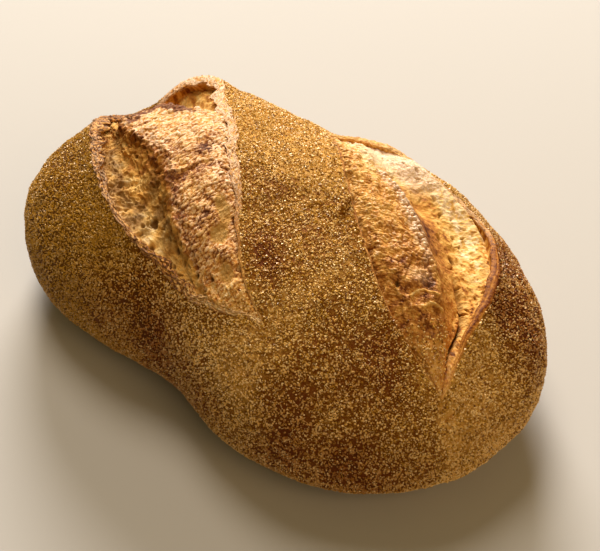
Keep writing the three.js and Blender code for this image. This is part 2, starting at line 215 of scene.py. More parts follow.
def smooth(low, high, value):
    """Smooth step from 0 at low to 1 at high."""
    step = np.clip((value - low) / (high - low), 0.0, 1.0)
    return step * step * (3 - 2 * step)


def window(start, full, fade, end, value):
    """Smooth rise from start to full, and a smooth fall from fade to end."""
    return smooth(start, full, value) * smooth(end, fade, value)


def oval(along, across, at_along, at_across, half_along, half_across):
    """Squared distance from an oval's middle, 1 on its outline."""
    return ((along - at_along) / half_along) ** 2 + ((across - at_across) / half_across) ** 2


def spot(along, across, *place):
    """Soft oval spot, 1 in its middle."""
    return np.exp(-oval(along, across, *place))


def spots(along, across, listed):
    """Sum of soft spots, each with its own strength."""
    return sum(strength * spot(along, across, *place) for *place, strength in listed)


def lattice(i, j, seed, k=0):
    """Seeded value between 0 and 1 for a whole-number place."""
    spread = np.sin(i * 127.1 + j * 311.7 + k * 269.5 + seed * 74.7) * 43758.5453
    return spread - np.floor(spread)


def plain_noise(x, y, seed):
    """Smooth seeded noise between -1 and 1, the same as in the loaf's solid."""
    i, j = np.floor(x), np.floor(y)
    across, up = smooth(0, 1, x - i), smooth(0, 1, y - j)
    near = lattice(i, j, seed) * (1 - across) + lattice(i + 1, j, seed) * across
    far = lattice(i, j + 1, seed) * (1 - across) + lattice(i + 1, j + 1, seed) * across
    return 2 * (near * (1 - up) + far * up) - 1


def noise(x, y, seed):
    """Gradient noise, about -1 to 1."""
    i, j = np.floor(x), np.floor(y)
    total = 0.0
    for di in (0, 1):
        for dj in (0, 1):
            turn = 2 * np.pi * lattice(i + di, j + dj, seed)
            dx, dy = x - i - di, y - j - dj
            weight = smooth(1, 0, np.abs(dx)) * smooth(1, 0, np.abs(dy))
            total = total + weight * (np.cos(turn) * dx + np.sin(turn) * dy)
    return 1.5 * total


def layered(x, y, seed, layers=3):
    """Gradient noise with finer layers on top, each half as high."""
    total = 0.0
    for layer in range(layers):
        scale = 2 ** layer
        total = total + noise(x * scale + 7.3 * layer, y * scale - 3.1 * layer, seed + layer) / scale
    return total


def ridged(x, y, seed):
    """Noise with sharp crests, 0 to 1."""
    return np.clip(1 - np.abs(2.2 * noise(x, y, seed)), 0, 1)


def solid_noise(point, pitch, seed):
    """Smooth seeded noise in space, -1 to 1."""
    scaled = point / pitch
    cell = np.floor(scaled)
    step = smooth(0, 1, scaled - cell)
    total = 0.0
    for corner in range(8):
        offset = np.array([corner & 1, corner >> 1 & 1, corner >> 2 & 1])
        weight = np.prod(np.where(offset == 1, step, 1 - step), axis=-1)
        place = cell + offset
        total = total + weight * lattice(place[..., 0], place[..., 1], seed, place[..., 2])
    return 2 * total - 1


def scattered(x, y, seed):
    """For the nine cells round each place: the cell, and the way and distance from its seeded point."""
    i, j = np.floor(x), np.floor(y)
    for di in (-1, 0, 1):
        for dj in (-1, 0, 1):
            column, row = i + di, j + dj
            dx = x - column - 0.15 - 0.7 * lattice(column, row, seed)
            dy = y - row - 0.15 - 0.7 * lattice(column, row, seed + 1)
            yield column, row, dx, dy, np.hypot(dx, dy)


def cells(x, y, seed):
    """Distance to the nearest of one seeded point a cell, and that point's own value from 0 to 1."""
    nearest, value = np.full(np.shape(x), 9.0), np.zeros(np.shape(x))
    for column, row, _, _, distance in scattered(x, y, seed):
        closer = distance < nearest
        nearest = np.where(closer, distance, nearest)
        value = np.where(closer, lattice(column, row, seed + 2), value)
    return nearest, value


def flakes(x, y, seed):
    """Height of tilted flakes, one a cell, about 0 to 1, and how near a place is to the crack round one."""
    nearest, second = np.full(np.shape(x), 9.0), np.full(np.shape(x), 9.0)
    height = np.zeros(np.shape(x))
    for column, row, dx, dy, distance in scattered(x, y, seed):
        closer = distance < nearest
        second = np.where(closer, nearest, np.minimum(second, distance))
        nearest = np.where(closer, distance, nearest)
        turn = 2 * np.pi * lattice(column, row, seed + 3)
        tilted = lattice(column, row, seed + 2) + 0.7 * (dx * np.cos(turn) + dy * np.sin(turn))
        height = np.where(closer, tilted, height)
    return np.clip(height, -0.3, 1.3), smooth(0.26, 0.04, second - nearest)


def station(share, last):
    """The station before a share of the way along evenly spaced ones, and the step past it."""
    place = np.clip(share, 0, 1) * last
    index = np.minimum(np.floor(place).astype(int), last - 1)
    return index, place - index


def cubic(before, start, end, after, step):
    """Smooth curve from start to end, led by the values before and after them."""
    enter, leave = (end - before) / 2, (after - start) / 2
    change = start - end
    bend = (2 * change + enter + leave) * step - 3 * change - 2 * enter - leave
    return (bend * step + enter) * step + start


def through(stations, share):
    """Value of a smooth curve through evenly spaced stations, at a share of its length."""
    values = np.asarray(stations, float)
    last = len(values) - 1
    index, step = station(np.asarray(share, float), last)
    if values.ndim == 2:
        step = step[..., None]
    return cubic(*(values[np.clip(index + offset, 0, last)] for offset in NEIGHBOURS), step)


def mixed(knots, share):
    """The same for stations that are arrays themselves."""
    last = len(knots) - 1
    index, step = station(share, last)
    table = np.stack(knots)
    near = [np.take_along_axis(table, np.clip(index + offset, 0, last)[None], 0)[0] for offset in NEIGHBOURS]
    return cubic(*near, step)


def blend(first, second, share):
    return first * (1 - share) + second * share


# Form of the loaf, in millimetres

class LoafForm:
    """The loaf's outline, crust and cuts, worked out from the sizes in the panel."""

    def __init__(self, sizes):
        self.half_length = sizes.half_length / MM
        self.half_width = sizes.half_width / MM
        self.height = sizes.height / MM
        self.waist = sizes.waist_height / MM
        self.plan_power = sizes.plan_power
        self.crown_power = sizes.crown_power
        self.foot_power = sizes.foot_power
        self.foot_sink = sizes.foot_sink / MM
        self.lip_reach = sizes.lip_reach / MM
        self.cut_angle = sizes.cut_angle
        self.contours = {}

    def plan_radius(self, angle):
        oval = (np.abs(np.cos(angle) / self.half_length) ** self.plan_power
                + np.abs(np.sin(angle) / self.half_width) ** self.plan_power) ** (-1 / self.plan_power)
        uneven = 1.0
        for index, (even, odd) in enumerate(LOBES):
            turn = (index + 1) * angle
            uneven = uneven + even * np.cos(turn) + odd * np.sin(turn)
        return oval * uneven

    def plain_point(self, angle, lift):
        """Point of the plain loaf at a plan angle and a lift from -90 to 90 degrees."""
        power = np.where(lift >= 0, self.crown_power, self.foot_power)
        reach = self.plan_radius(angle) * np.clip(np.cos(lift), 0, 1) ** (2 / power)
        rise = np.abs(np.sin(lift)) ** (2 / power)
        crown = self.waist + (self.height - self.waist) * rise
        foot = self.waist - (self.waist + self.foot_sink) * rise
        height = np.where(lift >= 0, crown, foot)
        return np.stack([reach * np.cos(angle), reach * np.sin(angle), height], -1)

    def plain_top(self, x, y):
        angle = np.arctan2(y, x)
        share = np.minimum(np.hypot(x, y) / self.plan_radius(angle), 0.998)
        return self.plain_point(angle, np.arccos(share ** (self.crown_power / 2)))

    def top_normal(self, x, y):
        step = 0.5
        along_x = self.plain_top(x + step, y) - self.plain_top(x - step, y)
        along_y = self.plain_top(x, y + step) - self.plain_top(x, y - step)
        normal = np.cross(along_x, along_y)
        return normal / np.linalg.norm(normal, axis=-1, keepdims=True)

    def cut_to_plan(self, along, across):
        cosine, sine = math.cos(self.cut_angle), math.sin(self.cut_angle)
        return along * cosine - across * sine, along * sine + across * cosine

    def plan_to_cut(self, x, y):
        cosine, sine = math.cos(self.cut_angle), math.sin(self.cut_angle)
        return x * cosine + y * sine, y * cosine - x * sine

    def crust_relief(self, point):
        """How far the real crust stands off the plain loaf: broad waves, and a sag behind the left cut."""
        x, y, z = point[..., 0], point[..., 1], point[..., 2]
        waves = (np.sin(x / 17 + 1.1) * np.sin(y / 14 + z / 19 + 0.4)
                 + 0.6 * np.sin(x / 9 - y / 11 + 2.1) * np.sin(z / 12 + y / 13))
        sag_x, sag_y = self.cut_to_plan(-124, -51)
        sag = np.hypot(x - sag_x, y - sag_y) / 21
        return 0.7 * waves * smooth(5, 25, z) - 6.5 * np.exp(-sag * sag)

    def crust_top(self, x, y):
        """Point on the crust over a place in plan, and the direction that it faces."""
        point = self.plain_top(x, y)
        normal = self.top_normal(x, y)
        return point + normal * self.crust_relief(point)[..., None], normal

    def contour(self, cut, steps=42):
        """The closed line round a cut: down its hinge from the far tip and back along its ear."""
        key = (cut["name"], steps)
        if key in self.contours:
            return self.contours[key]
        step = np.arange(2 * steps)
        on_hinge = step <= steps
        share = np.where(on_hinge, step / steps, 2 - step / steps)
        line = np.where(on_hinge[:, None], through(cut["hinge"], share), through(cut["ear"], share))
        x, y = self.cut_to_plan(line[:, 0], line[:, 1])
        point, normal = self.crust_top(x, y)
        rise = np.where(on_hinge, through(cut["hinge_rise"], share), through(cut["ear_rise"], share))
        tangent = np.roll(point, -1, 0) - np.roll(point, 1, 0)
        tangent /= np.linalg.norm(tangent, axis=1, keepdims=True)
        turn = np.sign(cut["hinge"][2][1] - cut["ear"][2][1])
        outward = np.cross(normal, tangent) * turn
        outward /= np.linalg.norm(outward, axis=1, keepdims=True)
        places = {"x": x, "y": y, "point": point, "normal": normal, "outward": outward, "rise": rise,
                  "share": share, "on_hinge": on_hinge}
        self.contours[key] = places
        return places

    def lip_share(self, distance):
        """Share of a lip's rise that is left at a distance from its edge."""
        return np.maximum(0, 1 - distance / self.lip_reach) ** 2

    def near_cut(self, cut, points, steps=260):
        """Distance of points to a cut's line, negative inside it in plan, and the lip's rise there."""
        contour = self.contour(cut, steps)
        tree = kdtree.KDTree(len(contour["x"]))
        for index, place in enumerate(contour["point"]):
            tree.insert(place, index)
        tree.balance()
        found = [tree.find(point) for point in points]
        distance = np.array([hit[2] for hit in found])
        rise = contour["rise"][[hit[1] for hit in found]]
        inside = np.zeros(len(points), bool)
        px, py = points[:, 0], points[:, 1]
        coarse = self.contour(cut)
        ends = [np.roll(coarse[axis], -1) for axis in "xy"]
        for x0, y0, x1, y1 in zip(coarse["x"], coarse["y"], *ends):
            spans = (y0 > py) != (y1 > py)
            side = px < x0 + (x1 - x0) * (py - y0) / (y1 - y0 if y1 != y0 else 1e-9)
            inside ^= spans & side
        return np.where(inside, -distance, distance), rise


# Meshes

def new_object(name, data):
    """An object with this data, in the scene."""
    thing = bpy.data.objects.new(name, data)
    bpy.context.scene.collection.objects.link(thing)
    return thing


def new_piece(name, points, faces, material, masks=None):
    """A piece of triangles from points in millimetres of the loaf's own frame, moved to the shared frame."""
    placed = (np.asarray(points, float) + np.array([*CENTRE_SHIFT, 0.0])) * MM
    mesh = bpy.data.meshes.new(name)
    flat = np.asarray(faces, np.int32)
    mesh.vertices.add(len(placed))
    mesh.vertices.foreach_set("co", placed.ravel().astype(np.float32))
    mesh.loops.add(flat.size)
    mesh.loops.foreach_set("vertex_index", flat.ravel())
    mesh.polygons.add(len(flat))
    mesh.polygons.foreach_set("loop_start", np.arange(0, flat.size, 3, dtype=np.int32))
    mesh.polygons.foreach_set("use_smooth", np.ones(len(flat), bool))
    mesh.update(calc_edges=True)
    mesh.validate()
    for mask, values in (masks or {}).items():
        layer = mesh.attributes.new(mask, "FLOAT", "POINT")
        layer.data.foreach_set("value", np.asarray(values, np.float32))
    mesh.materials.append(material)
    return new_object(name, mesh)


def declare(piece):
    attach(piece, "root")
    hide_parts(NODE)


def outward_faces(points, faces):
    """The triangles, turned so that the closed mesh faces out."""
    a, b, c = points[faces[:, 0]], points[faces[:, 1]], points[faces[:, 2]]
    volume = np.einsum("ij,ij->", a, np.cross(b, c))
    return faces if volume > 0 else faces[:, ::-1]


def triangles(quads):
    return np.concatenate([quads[:, [0, 1, 2]], quads[:, [0, 2, 3]]])


def cube_sphere(count):
    """Directions and triangles of a cube's six gridded faces, with their shared edges merged."""
    line = np.tan(np.linspace(-math.pi / 4, math.pi / 4, count + 1))
    a, b = np.meshgrid(line, line, indexing="ij")
    one = np.ones_like(a)
    sides = [(one, a, b), (-one, b, a), (b, one, a), (a, -one, b), (a, b, one), (b, a, -one)]
    grids = np.concatenate([np.stack(side, -1).reshape(-1, 3) for side in sides])
    rows = np.arange(count)
    i, j = np.meshgrid(rows, rows, indexing="ij")
    first = (i * (count + 1) + j).ravel()
    quad = np.stack([first, first + count + 1, first + count + 2, first + 1], -1)
    quads = np.concatenate([quad + side * (count + 1) ** 2 for side in range(6)])
    unit = grids / np.linalg.norm(grids, axis=1, keepdims=True)
    _, first_of, place = np.unique(np.round(unit, 6), axis=0, return_index=True, return_inverse=True)
    return unit[first_of], triangles(place.reshape(-1)[quads])


# Crust

def toast_and_shade_mask(form, point):
    """How dark the crust is, 0 pale gold to 1 red brown, with painted shade in two of the listed spots."""
    x, y, z = point[..., 0], point[..., 1], point[..., 2]
    along, across = form.plan_to_cut(x, y)
    from_middle = np.maximum(np.hypot(x, y), 1)
    broad = solid_noise(point, 34.0, 41) * 0.16 + solid_noise(point, 13.0, 42) * 0.16
    near_side = smooth(90, 35, z) * (0.05 + 0.27 * smooth(0.1, 0.6, -y / from_middle))
    far_side = smooth(62, 84, across) * window(20, 50, 95, 125, along) * 0.5
    rear = smooth(0.2, 0.8, (0.69 * y - 0.72 * x) / from_middle) * smooth(84, 56, z) * 0.55
    pale_end = smooth(70, 120, along + 0.4 * across) * smooth(-10, 60, across) * 0.24
    toast_and_shade = 0.38 + broad + near_side + far_side + rear - pale_end
    return np.clip(toast_and_shade + spots(along, across, TOAST_AND_SHADE_SPOTS.values()), 0, 1)


def gold_mask(form, point):
    """How golden rather than reddish the crust is: most at the end with the left cut."""
    along, across = form.plan_to_cut(point[..., 0], point[..., 1])
    outer = smooth(-5, -50, across + 8 * solid_noise(point, 18.0, 45)) + smooth(-105, -130, along)
    return np.clip(smooth(10, -50, along + 0.3 * across + 12 * solid_noise(point, 22.0, 44)) * outer, 0, 1)


def crust_mesh(form, looks):
    """The baked crust as a closed mesh, with a well inside each cut, and its masks."""
    unit, faces = cube_sphere(CRUST_FACES)
    from_top = np.pi * (np.arccos(np.clip(unit[:, 2], -1, 1)) / np.pi) ** CROWN_PACKING
    angle = np.arctan2(unit[:, 1] * form.half_width, unit[:, 0] * form.half_length)
    lift = np.pi / 2 - from_top
    point = form.plain_point(angle, lift)
    crown = lift > 0.15
    facing = np.stack([unit[:, 0], unit[:, 1], np.zeros(len(unit))], -1)
    facing[crown] = form.top_normal(point[crown, 0], point[crown, 1])
    relief = form.crust_relief(point)
    rough = looks.crust_roughness / MM
    edge = np.full(len(point), np.inf)
    for cut in (LEFT_CUT, RIGHT_CUT):
        distance, rise = form.near_cut(cut, point)
        relief = relief + np.where(distance > 0, rise * form.lip_share(distance), 0)
        relief = np.where(distance < 1.0, -WELL_DEPTH, relief - LIP_DIP * smooth(6.2, 4.4, distance))
        edge = np.minimum(edge, distance)
    uneven = solid_noise(point, 8.0, 21) + 0.8 * solid_noise(point, 4.0, 22)
    relief = relief + rough * uneven * smooth(1, 12, point[:, 2]) * smooth(3, 9, edge)
    relief = relief + nick_relief(form, point)
    point = point + facing * relief[:, None]
    point[:, 2] = np.maximum(point[:, 2], 0)
    toast_and_shade = toast_and_shade_mask(form, point)
    bare = smooth(3.5, 5.2, edge) * smooth(0.5, 4, point[:, 2])
    masks = {"toast_and_shade": toast_and_shade, "gold": gold_mask(form, point), "meal": bare * (1 - 0.45 * toast_and_shade)}
    return point, outward_faces(point, faces), masks


def nick_relief(form, point):
    """A small lifted flap beside the right cut's hinge, and the round dimple past its near tip."""
    along, across = form.plan_to_cut(point[:, 0], point[:, 1])
    above = point[:, 2] > 50
    flap_along = (along - 20) * -0.67 + (across - 25) * 0.74
    flap_side = (along - 20) * 0.74 + (across - 25) * 0.67
    flap = np.exp(-(flap_along / 7) ** 4) * (2.7 * np.exp(-((flap_side + 1) / 2.0) ** 2)
                                             - 1.2 * np.exp(-((flap_side - 2) / 1.4) ** 2))
    dimple = -1.6 * spot(along, across, 125, 43, 3, 3)
    groove = -0.8 * np.exp(-((along - 124) / 9) ** 4 - ((across - 39) / 2.5) ** 2)
    return np.where(above, flap + dimple + groove, dimple + groove)


# Torn crumb inside the cuts

def bloom_profile(cut, share, width, between):
    """Height of the opened crumb off the crust's own line, as in the loaf's solid."""
    swell, ridge = through(cut["swell"], share), through(cut["ridge_rise"], share)
    drop = through(cut["valley_drop"], share)
    risen, brink = np.ones_like(share), np.zeros_like(share)
    if cut["crest"]:
        jagged = 0.018 * noise(between * 9, 0 * between, 17) + 0.008 * noise(between * 31, 0 * between, 18)
        past_crest = share - (through(cut["crest"], between) + jagged)
        risen = smooth(-0.014, 0.004, past_crest)
        brink = window(-0.012, -0.004, 0.012, 0.05, past_crest)
        ridge = blend(-0.75 * cut["hollow"], ridge, risen)
    skin = mixed([-RIM_SINK + 0 * swell, 0.75 * swell, swell, 0.9 * swell, ridge], 2 * width)
    hollow = cut["hollow"] * (1 - 0.6 * smooth(0.2, 0.08, between) * smooth(0.06, 0.2, share))
    skin = blend(-hollow * smooth(0, 0.1, width) - RIM_SINK, skin, risen)
    valley = mixed([ridge, -0.55 * drop, -drop, -0.85 * drop, -0.3 * drop], 2 * width - 1)
    profile = np.where(width < 0.5, skin, valley)
    ends = np.sqrt(np.clip(np.sin(np.pi * share), 0, 1))
    blisters = 0.8 * plain_noise(share * 190 / 11, width * 60 / 11, cut["seed"])
    ragged = 1.3 * plain_noise(share * 190 / 6, 0 * width, cut["seed"] + 1) \
        * (smooth(0.34, 0.5, width) - smooth(0.5, 0.6, width))
    return profile + ends * (blisters + ragged), drop, risen, brink


def bowls(along, across, places):
    """Depth of smooth hollows at the listed places."""
    return sum(deep * np.exp(-oval(along, across, *place) ** 1.5) for *place, deep in places)


def surface_travel(base, across):
    """Way along the torn surface from the hinge, so that no pattern is stretched on a steep wall."""
    steps = np.linalg.norm(np.diff(base, axis=1), axis=-1)
    gone = np.concatenate([np.zeros((len(base), 1)), np.cumsum(steps, axis=1)], axis=1)
    return across[:, :1] + np.sign(across[:, -1:] - across[:, :1]) * gone


def grid_normal(base, up):
    """Directions that a gridded surface faces, on the side of the crust's own."""
    facing = np.cross(np.gradient(base, axis=0), np.gradient(base, axis=1))
    facing /= np.maximum(np.linalg.norm(facing, axis=-1, keepdims=True), 1e-9)
    return facing * np.sign(np.einsum("ijk,ijk->ij", facing, up))[..., None]


def torn_crumb(along, travel, seed):
    """Relief of torn crumb: cupped cells at two sizes between thin webs, and irregular holes."""
    bend_x = 0.7 * layered(along / 7, travel / 7, seed, 2)
    bend_y = 0.7 * layered(along / 7, travel / 7, seed + 1, 2)
    relief = 0.9 * layered(along / 7, travel / 7, seed + 2, 2)
    for layer, (pitch, high) in enumerate(((5.2, 1.1), (1.9, 0.3))):
        near, kind = cells(along / pitch + bend_x, travel / pitch + bend_y, seed + 4 + 3 * layer)
        relief = relief + high * (0.4 + 0.6 * kind) * (np.clip(near / 0.7, 0, 1) ** 2 - 0.5)
    relief = relief + 0.22 * layered(along / 0.9, travel / 0.9, seed + 11, 2)
    holes = smooth(0.46, 0.66, noise(along / 3.0 + bend_x, travel / 3.0 + bend_y, seed + 12))
    return relief, holes


def arc_ridge(along, across, start, end, bow, half_width):
    """Share of a thin bowed ridge between two places."""
    (a0, c0), (a1, c1) = start, end
    length = math.hypot(a1 - a0, c1 - c0)
    step_a, step_c = (a1 - a0) / length, (c1 - c0) / length
    down = (along - a0) * step_a + (across - c0) * step_c
    side = (across - c0) * step_a - (along - a0) * step_c
    share = np.clip(down / length, 0, 1)
    off = side - bow * 4 * share * (1 - share)
    past = np.maximum(0, np.abs(down - length / 2) - length / 2)
    return np.exp(-(off / half_width) ** 2 - (past / 1.5) ** 2)


def stretched_relief(along, across, travel, width, share):
    """Left cut: a skin with fine slanting stretch wrinkles, a crumbly edge and torn crumb below it."""
    skin = smooth(0.53, 0.45, width)
    edge = window(0.36, 0.48, 0.54, 0.66, width)
    torn = smooth(0.46, 0.56, width)
    bend = layered(along / 12, travel / 12, 31, 3)
    swerve = layered(along / 6, travel / 6, 30, 2)
    down, over = 0.97 * along + 0.25 * travel, 0.97 * travel - 0.25 * along
    patchy = smooth(-0.5, 0.4, noise(along / 7, travel / 7, 32))
    plate, crack = flakes(down / 1.9 + 1.1 * bend, over / 5.0 + 0.6 * swerve, 33)
    chip, chip_crack = flakes(down / 1.1 + 0.8 * swerve, over / 2.3 + 0.8 * bend, 35)
    flake = layered(down / 1.2, over / 1.7, 36, 2)
    near = smooth(0.3, 0.52, share)
    crumbly = smooth(0.72, 0.86, share)
    fine = 0.3 * chip + 0.2 * flake - 0.12 * chip_crack
    skin_relief = (0.35 + 0.65 * patchy) * (blend(0.45, 0.55, near) * plate - 0.25 * crack) + fine \
        + 0.9 * layered(along / 9, travel / 9, 35, 2) - 0.4
    past_ledge = along + 27.5 - 1.2 * np.sin(across / 4)
    ledge = window(-0.6, 0.6, 3, 12, past_ledge) * window(-56, -51, -31, -26, across)
    webs, holes = torn_crumb(along + 0.3 * travel, travel - 0.3 * along, 37)
    strand = ridged(along / 13 + 0.8 * bend, travel / 4.2 + 0.9 * swerve, 39)
    webs = webs + smooth(0.72, 0.5, share) * (1.5 * strand - 0.5)
    skin_relief = blend(skin_relief, 0.8 * webs + fine, 0.7 * crumbly)
    relief = skin * (skin_relief - 1.4 * ledge) + edge * 1.3 * (ridged(along / 4, travel / 4, 47) - 0.45)
    relief = relief + torn * webs - bowls(along, across, LEFT_HOLLOWS)
    crest = np.clip(0.45 * plate + 0.35 * chip + 0.35 * flake - 0.5 * crack - 0.3 * chip_crack + 0.2, 0, 1)
    zone = torn * smooth(0.28, 0.4, share) + crumbly * skin * 0.7
    return relief, crest, edge, np.clip(zone, 0, 1) * holes, ledge


def blistered_relief(along, across, travel, width, share):
    """Right cut: baked blisters, a beaded ridge, a smooth slope, a slit and a rough crumb wall."""
    skin = smooth(0.52, 0.45, width)
    wall = smooth(0.7, 0.8, width)
    bend = layered(along / 12, travel / 12, 50, 2)
    down, over = 0.9 * along - 0.44 * travel, 0.9 * travel + 0.44 * along
    blister = beads_of(down / 2.8 + bend, over / 4.2 + bend, 51, 0.3, 0.8)
    plate, crack = flakes(down / 1.3 + 0.9 * bend, over / 2.9 + 0.7 * bend, 53)
    chip, chip_crack = flakes(down / 0.9, over / 1.6 + bend, 54)
    flake = layered(down / 1.1, over / 1.6, 64, 2)
    fade = smooth(0.84, 0.66, share)
    fold = ridged(along / 5 + 0.6 * bend, travel / 3.4, 55)
    skin_relief = fade * (0.4 * blister + 0.42 * plate - 0.2 * crack) \
        + (0.4 + 0.6 * fade) * (0.28 * chip - 0.1 * chip_crack + 0.2 * flake) \
        + 0.55 * fold * window(0.52, 0.7, 0.84, 0.95, share) \
        + 1.2 * layered(along / 8, travel / 6, 57, 2) - 0.4
    bead = beads_of(along / 2.2 + 0.4 * bend, travel / 2.5 - 0.4 * bend, 58, 0.5, 0.7)
    beads = window(0.4, 0.47, 0.5, 0.56, width) * window(0.2, 0.32, 0.64, 0.72, share)
    slope = window(0.5, 0.56, 0.68, 0.78, width)
    webs, holes = torn_crumb(along, travel, 61)
    torn = smooth(0.4, 0.22, share) * smooth(0.25, 0.5, width)
    mound = spot(along, across, -20, 52, 11, 7)
    relief = skin * skin_relief + beads * (1.4 * bead - 0.3)
    relief = relief + slope * (0.3 * layered(along / 4, travel / 9, 60, 2) + 0.18 * flake) \
        + np.maximum(wall, torn) * 0.75 * webs * (1 - 0.6 * mound) + 1.6 * mound
    relief = relief + 4.2 * swollen_edge(width, share)
    rims = sum(arc_ridge(along, across, *rim) for rim in RIGHT_RIMS)
    relief = relief - bowls(along, across, RIGHT_HOLLOWS) + 0.9 * rims
    zone = np.maximum(wall * window(0.2, 0.4, 0.8, 0.92, share), torn * (1 - mound))
    crest = 0.3 * blister + 0.4 * plate + 0.3 * chip + 0.35 * flake - 0.5 * crack - 0.3 * chip_crack + 0.1
    # Tops of the beads, which get a painted highlight
    bead_highlight = beads * np.clip(bead, 0, 1)
    return relief, np.clip(crest, 0, 1), (beads, bead_highlight), np.clip(zone, 0, 1) * holes, np.clip(rims, 0, 1)


def beads_of(x, y, seed, least, spread):
    """Height of round beads, one a cell, each at least the least and up to the spread higher."""
    near, size = cells(x, y, seed)
    return np.clip(1 - (near / 0.62) ** 2, 0, 1) * (least + spread * size)


def swollen_edge(width, share):
    """Share of the bulge where the right cut's far crumb rises over its lip."""
    return smooth(0.6, 0.98, width) * window(0.03, 0.24, 0.29, 0.58, share)


def left_masks(along, across, travel, width, share, drop, risen, crest, edge, ledge):
    """Bake, flour and gloss of the left cut's inside; the bake also holds painted shade in creases and
    cracks, and the flour painted highlight on crests.
    """
    skin = smooth(0.54, 0.47, width) * risen
    mottled = layered(along / 7, travel / 7, 71, 3)
    near = smooth(0.36, 0.56, share)
    tip = smooth(0.78, 0.95, share)
    # Lighter crests and darker cracks in the skin: partly baked colour, partly painted highlight and shade
    bake_skin = blend(0.46, 0.57, near) + 0.14 * mottled + 0.5 * (0.45 - crest) + 0.14 * ledge - 0.14 * tip
    bake_torn = through([0.58, 0.52, 0.46, 0.4, 0.44], 2 * width - 1) + 0.24 * mottled \
        - 0.14 * smooth(0.5, 0.66, share)
    bake_torn = blend(0.42 + 0.15 * mottled, bake_torn, smooth(0.5, 3.0, drop))
    bake = blend(bake_torn, bake_skin, skin)
    bake = np.minimum(bake + 0.12 * edge * smooth(1.0, 4.0, drop) * risen, 0.84)
    stripes = smooth(-0.5, 0.6, layered(across / 3.2, along / 14, 72, 2))
    bake = blend(0.3 + 0.42 * stripes + 0.1 * mottled, bake, risen)
    speck = smooth(-0.2, 0.4, layered(along / 1.6, travel / 1.6, 73, 2))
    floury = blend(1.3, 0.5, near) * skin + smooth(0.24, 0.08, width) * smooth(0.72, 0.55, share)
    # Flour on the skin's crests: partly flour, partly painted highlight
    flour = np.clip(floury, 0, 1) * (0.35 + 0.65 * speck) * smooth(0.2, 0.62, crest + 0.1 * speck)
    flour = (flour + 0.25 * smooth(0.93, 1, width)) * risen * (1 - 0.8 * ledge) * (1 - 0.5 * tip)
    gloss = skin * smooth(0.3, 0.7, crest) * blend(0.3, 0.8, near) * (1 - tip)
    pocket = smooth(0.8, 1.7, bowls(along, across, LEFT_HOLLOWS) + 0.3 * mottled)
    # Painted shade in the skin's creases: more bake and less flour
    crease_shade = spots(along, across, LEFT_CREASE_SHADE) * skin
    bake = blend(bake + 0.16 * crease_shade, 0.36 + 0.14 * mottled, pocket)
    flour = flour * (1 - 0.6 * crease_shade) * (1 - 0.85 * pocket)
    return np.clip(bake, 0, 1), np.clip(flour, 0, 1), np.clip(gloss * (1 - pocket), 0, 1)


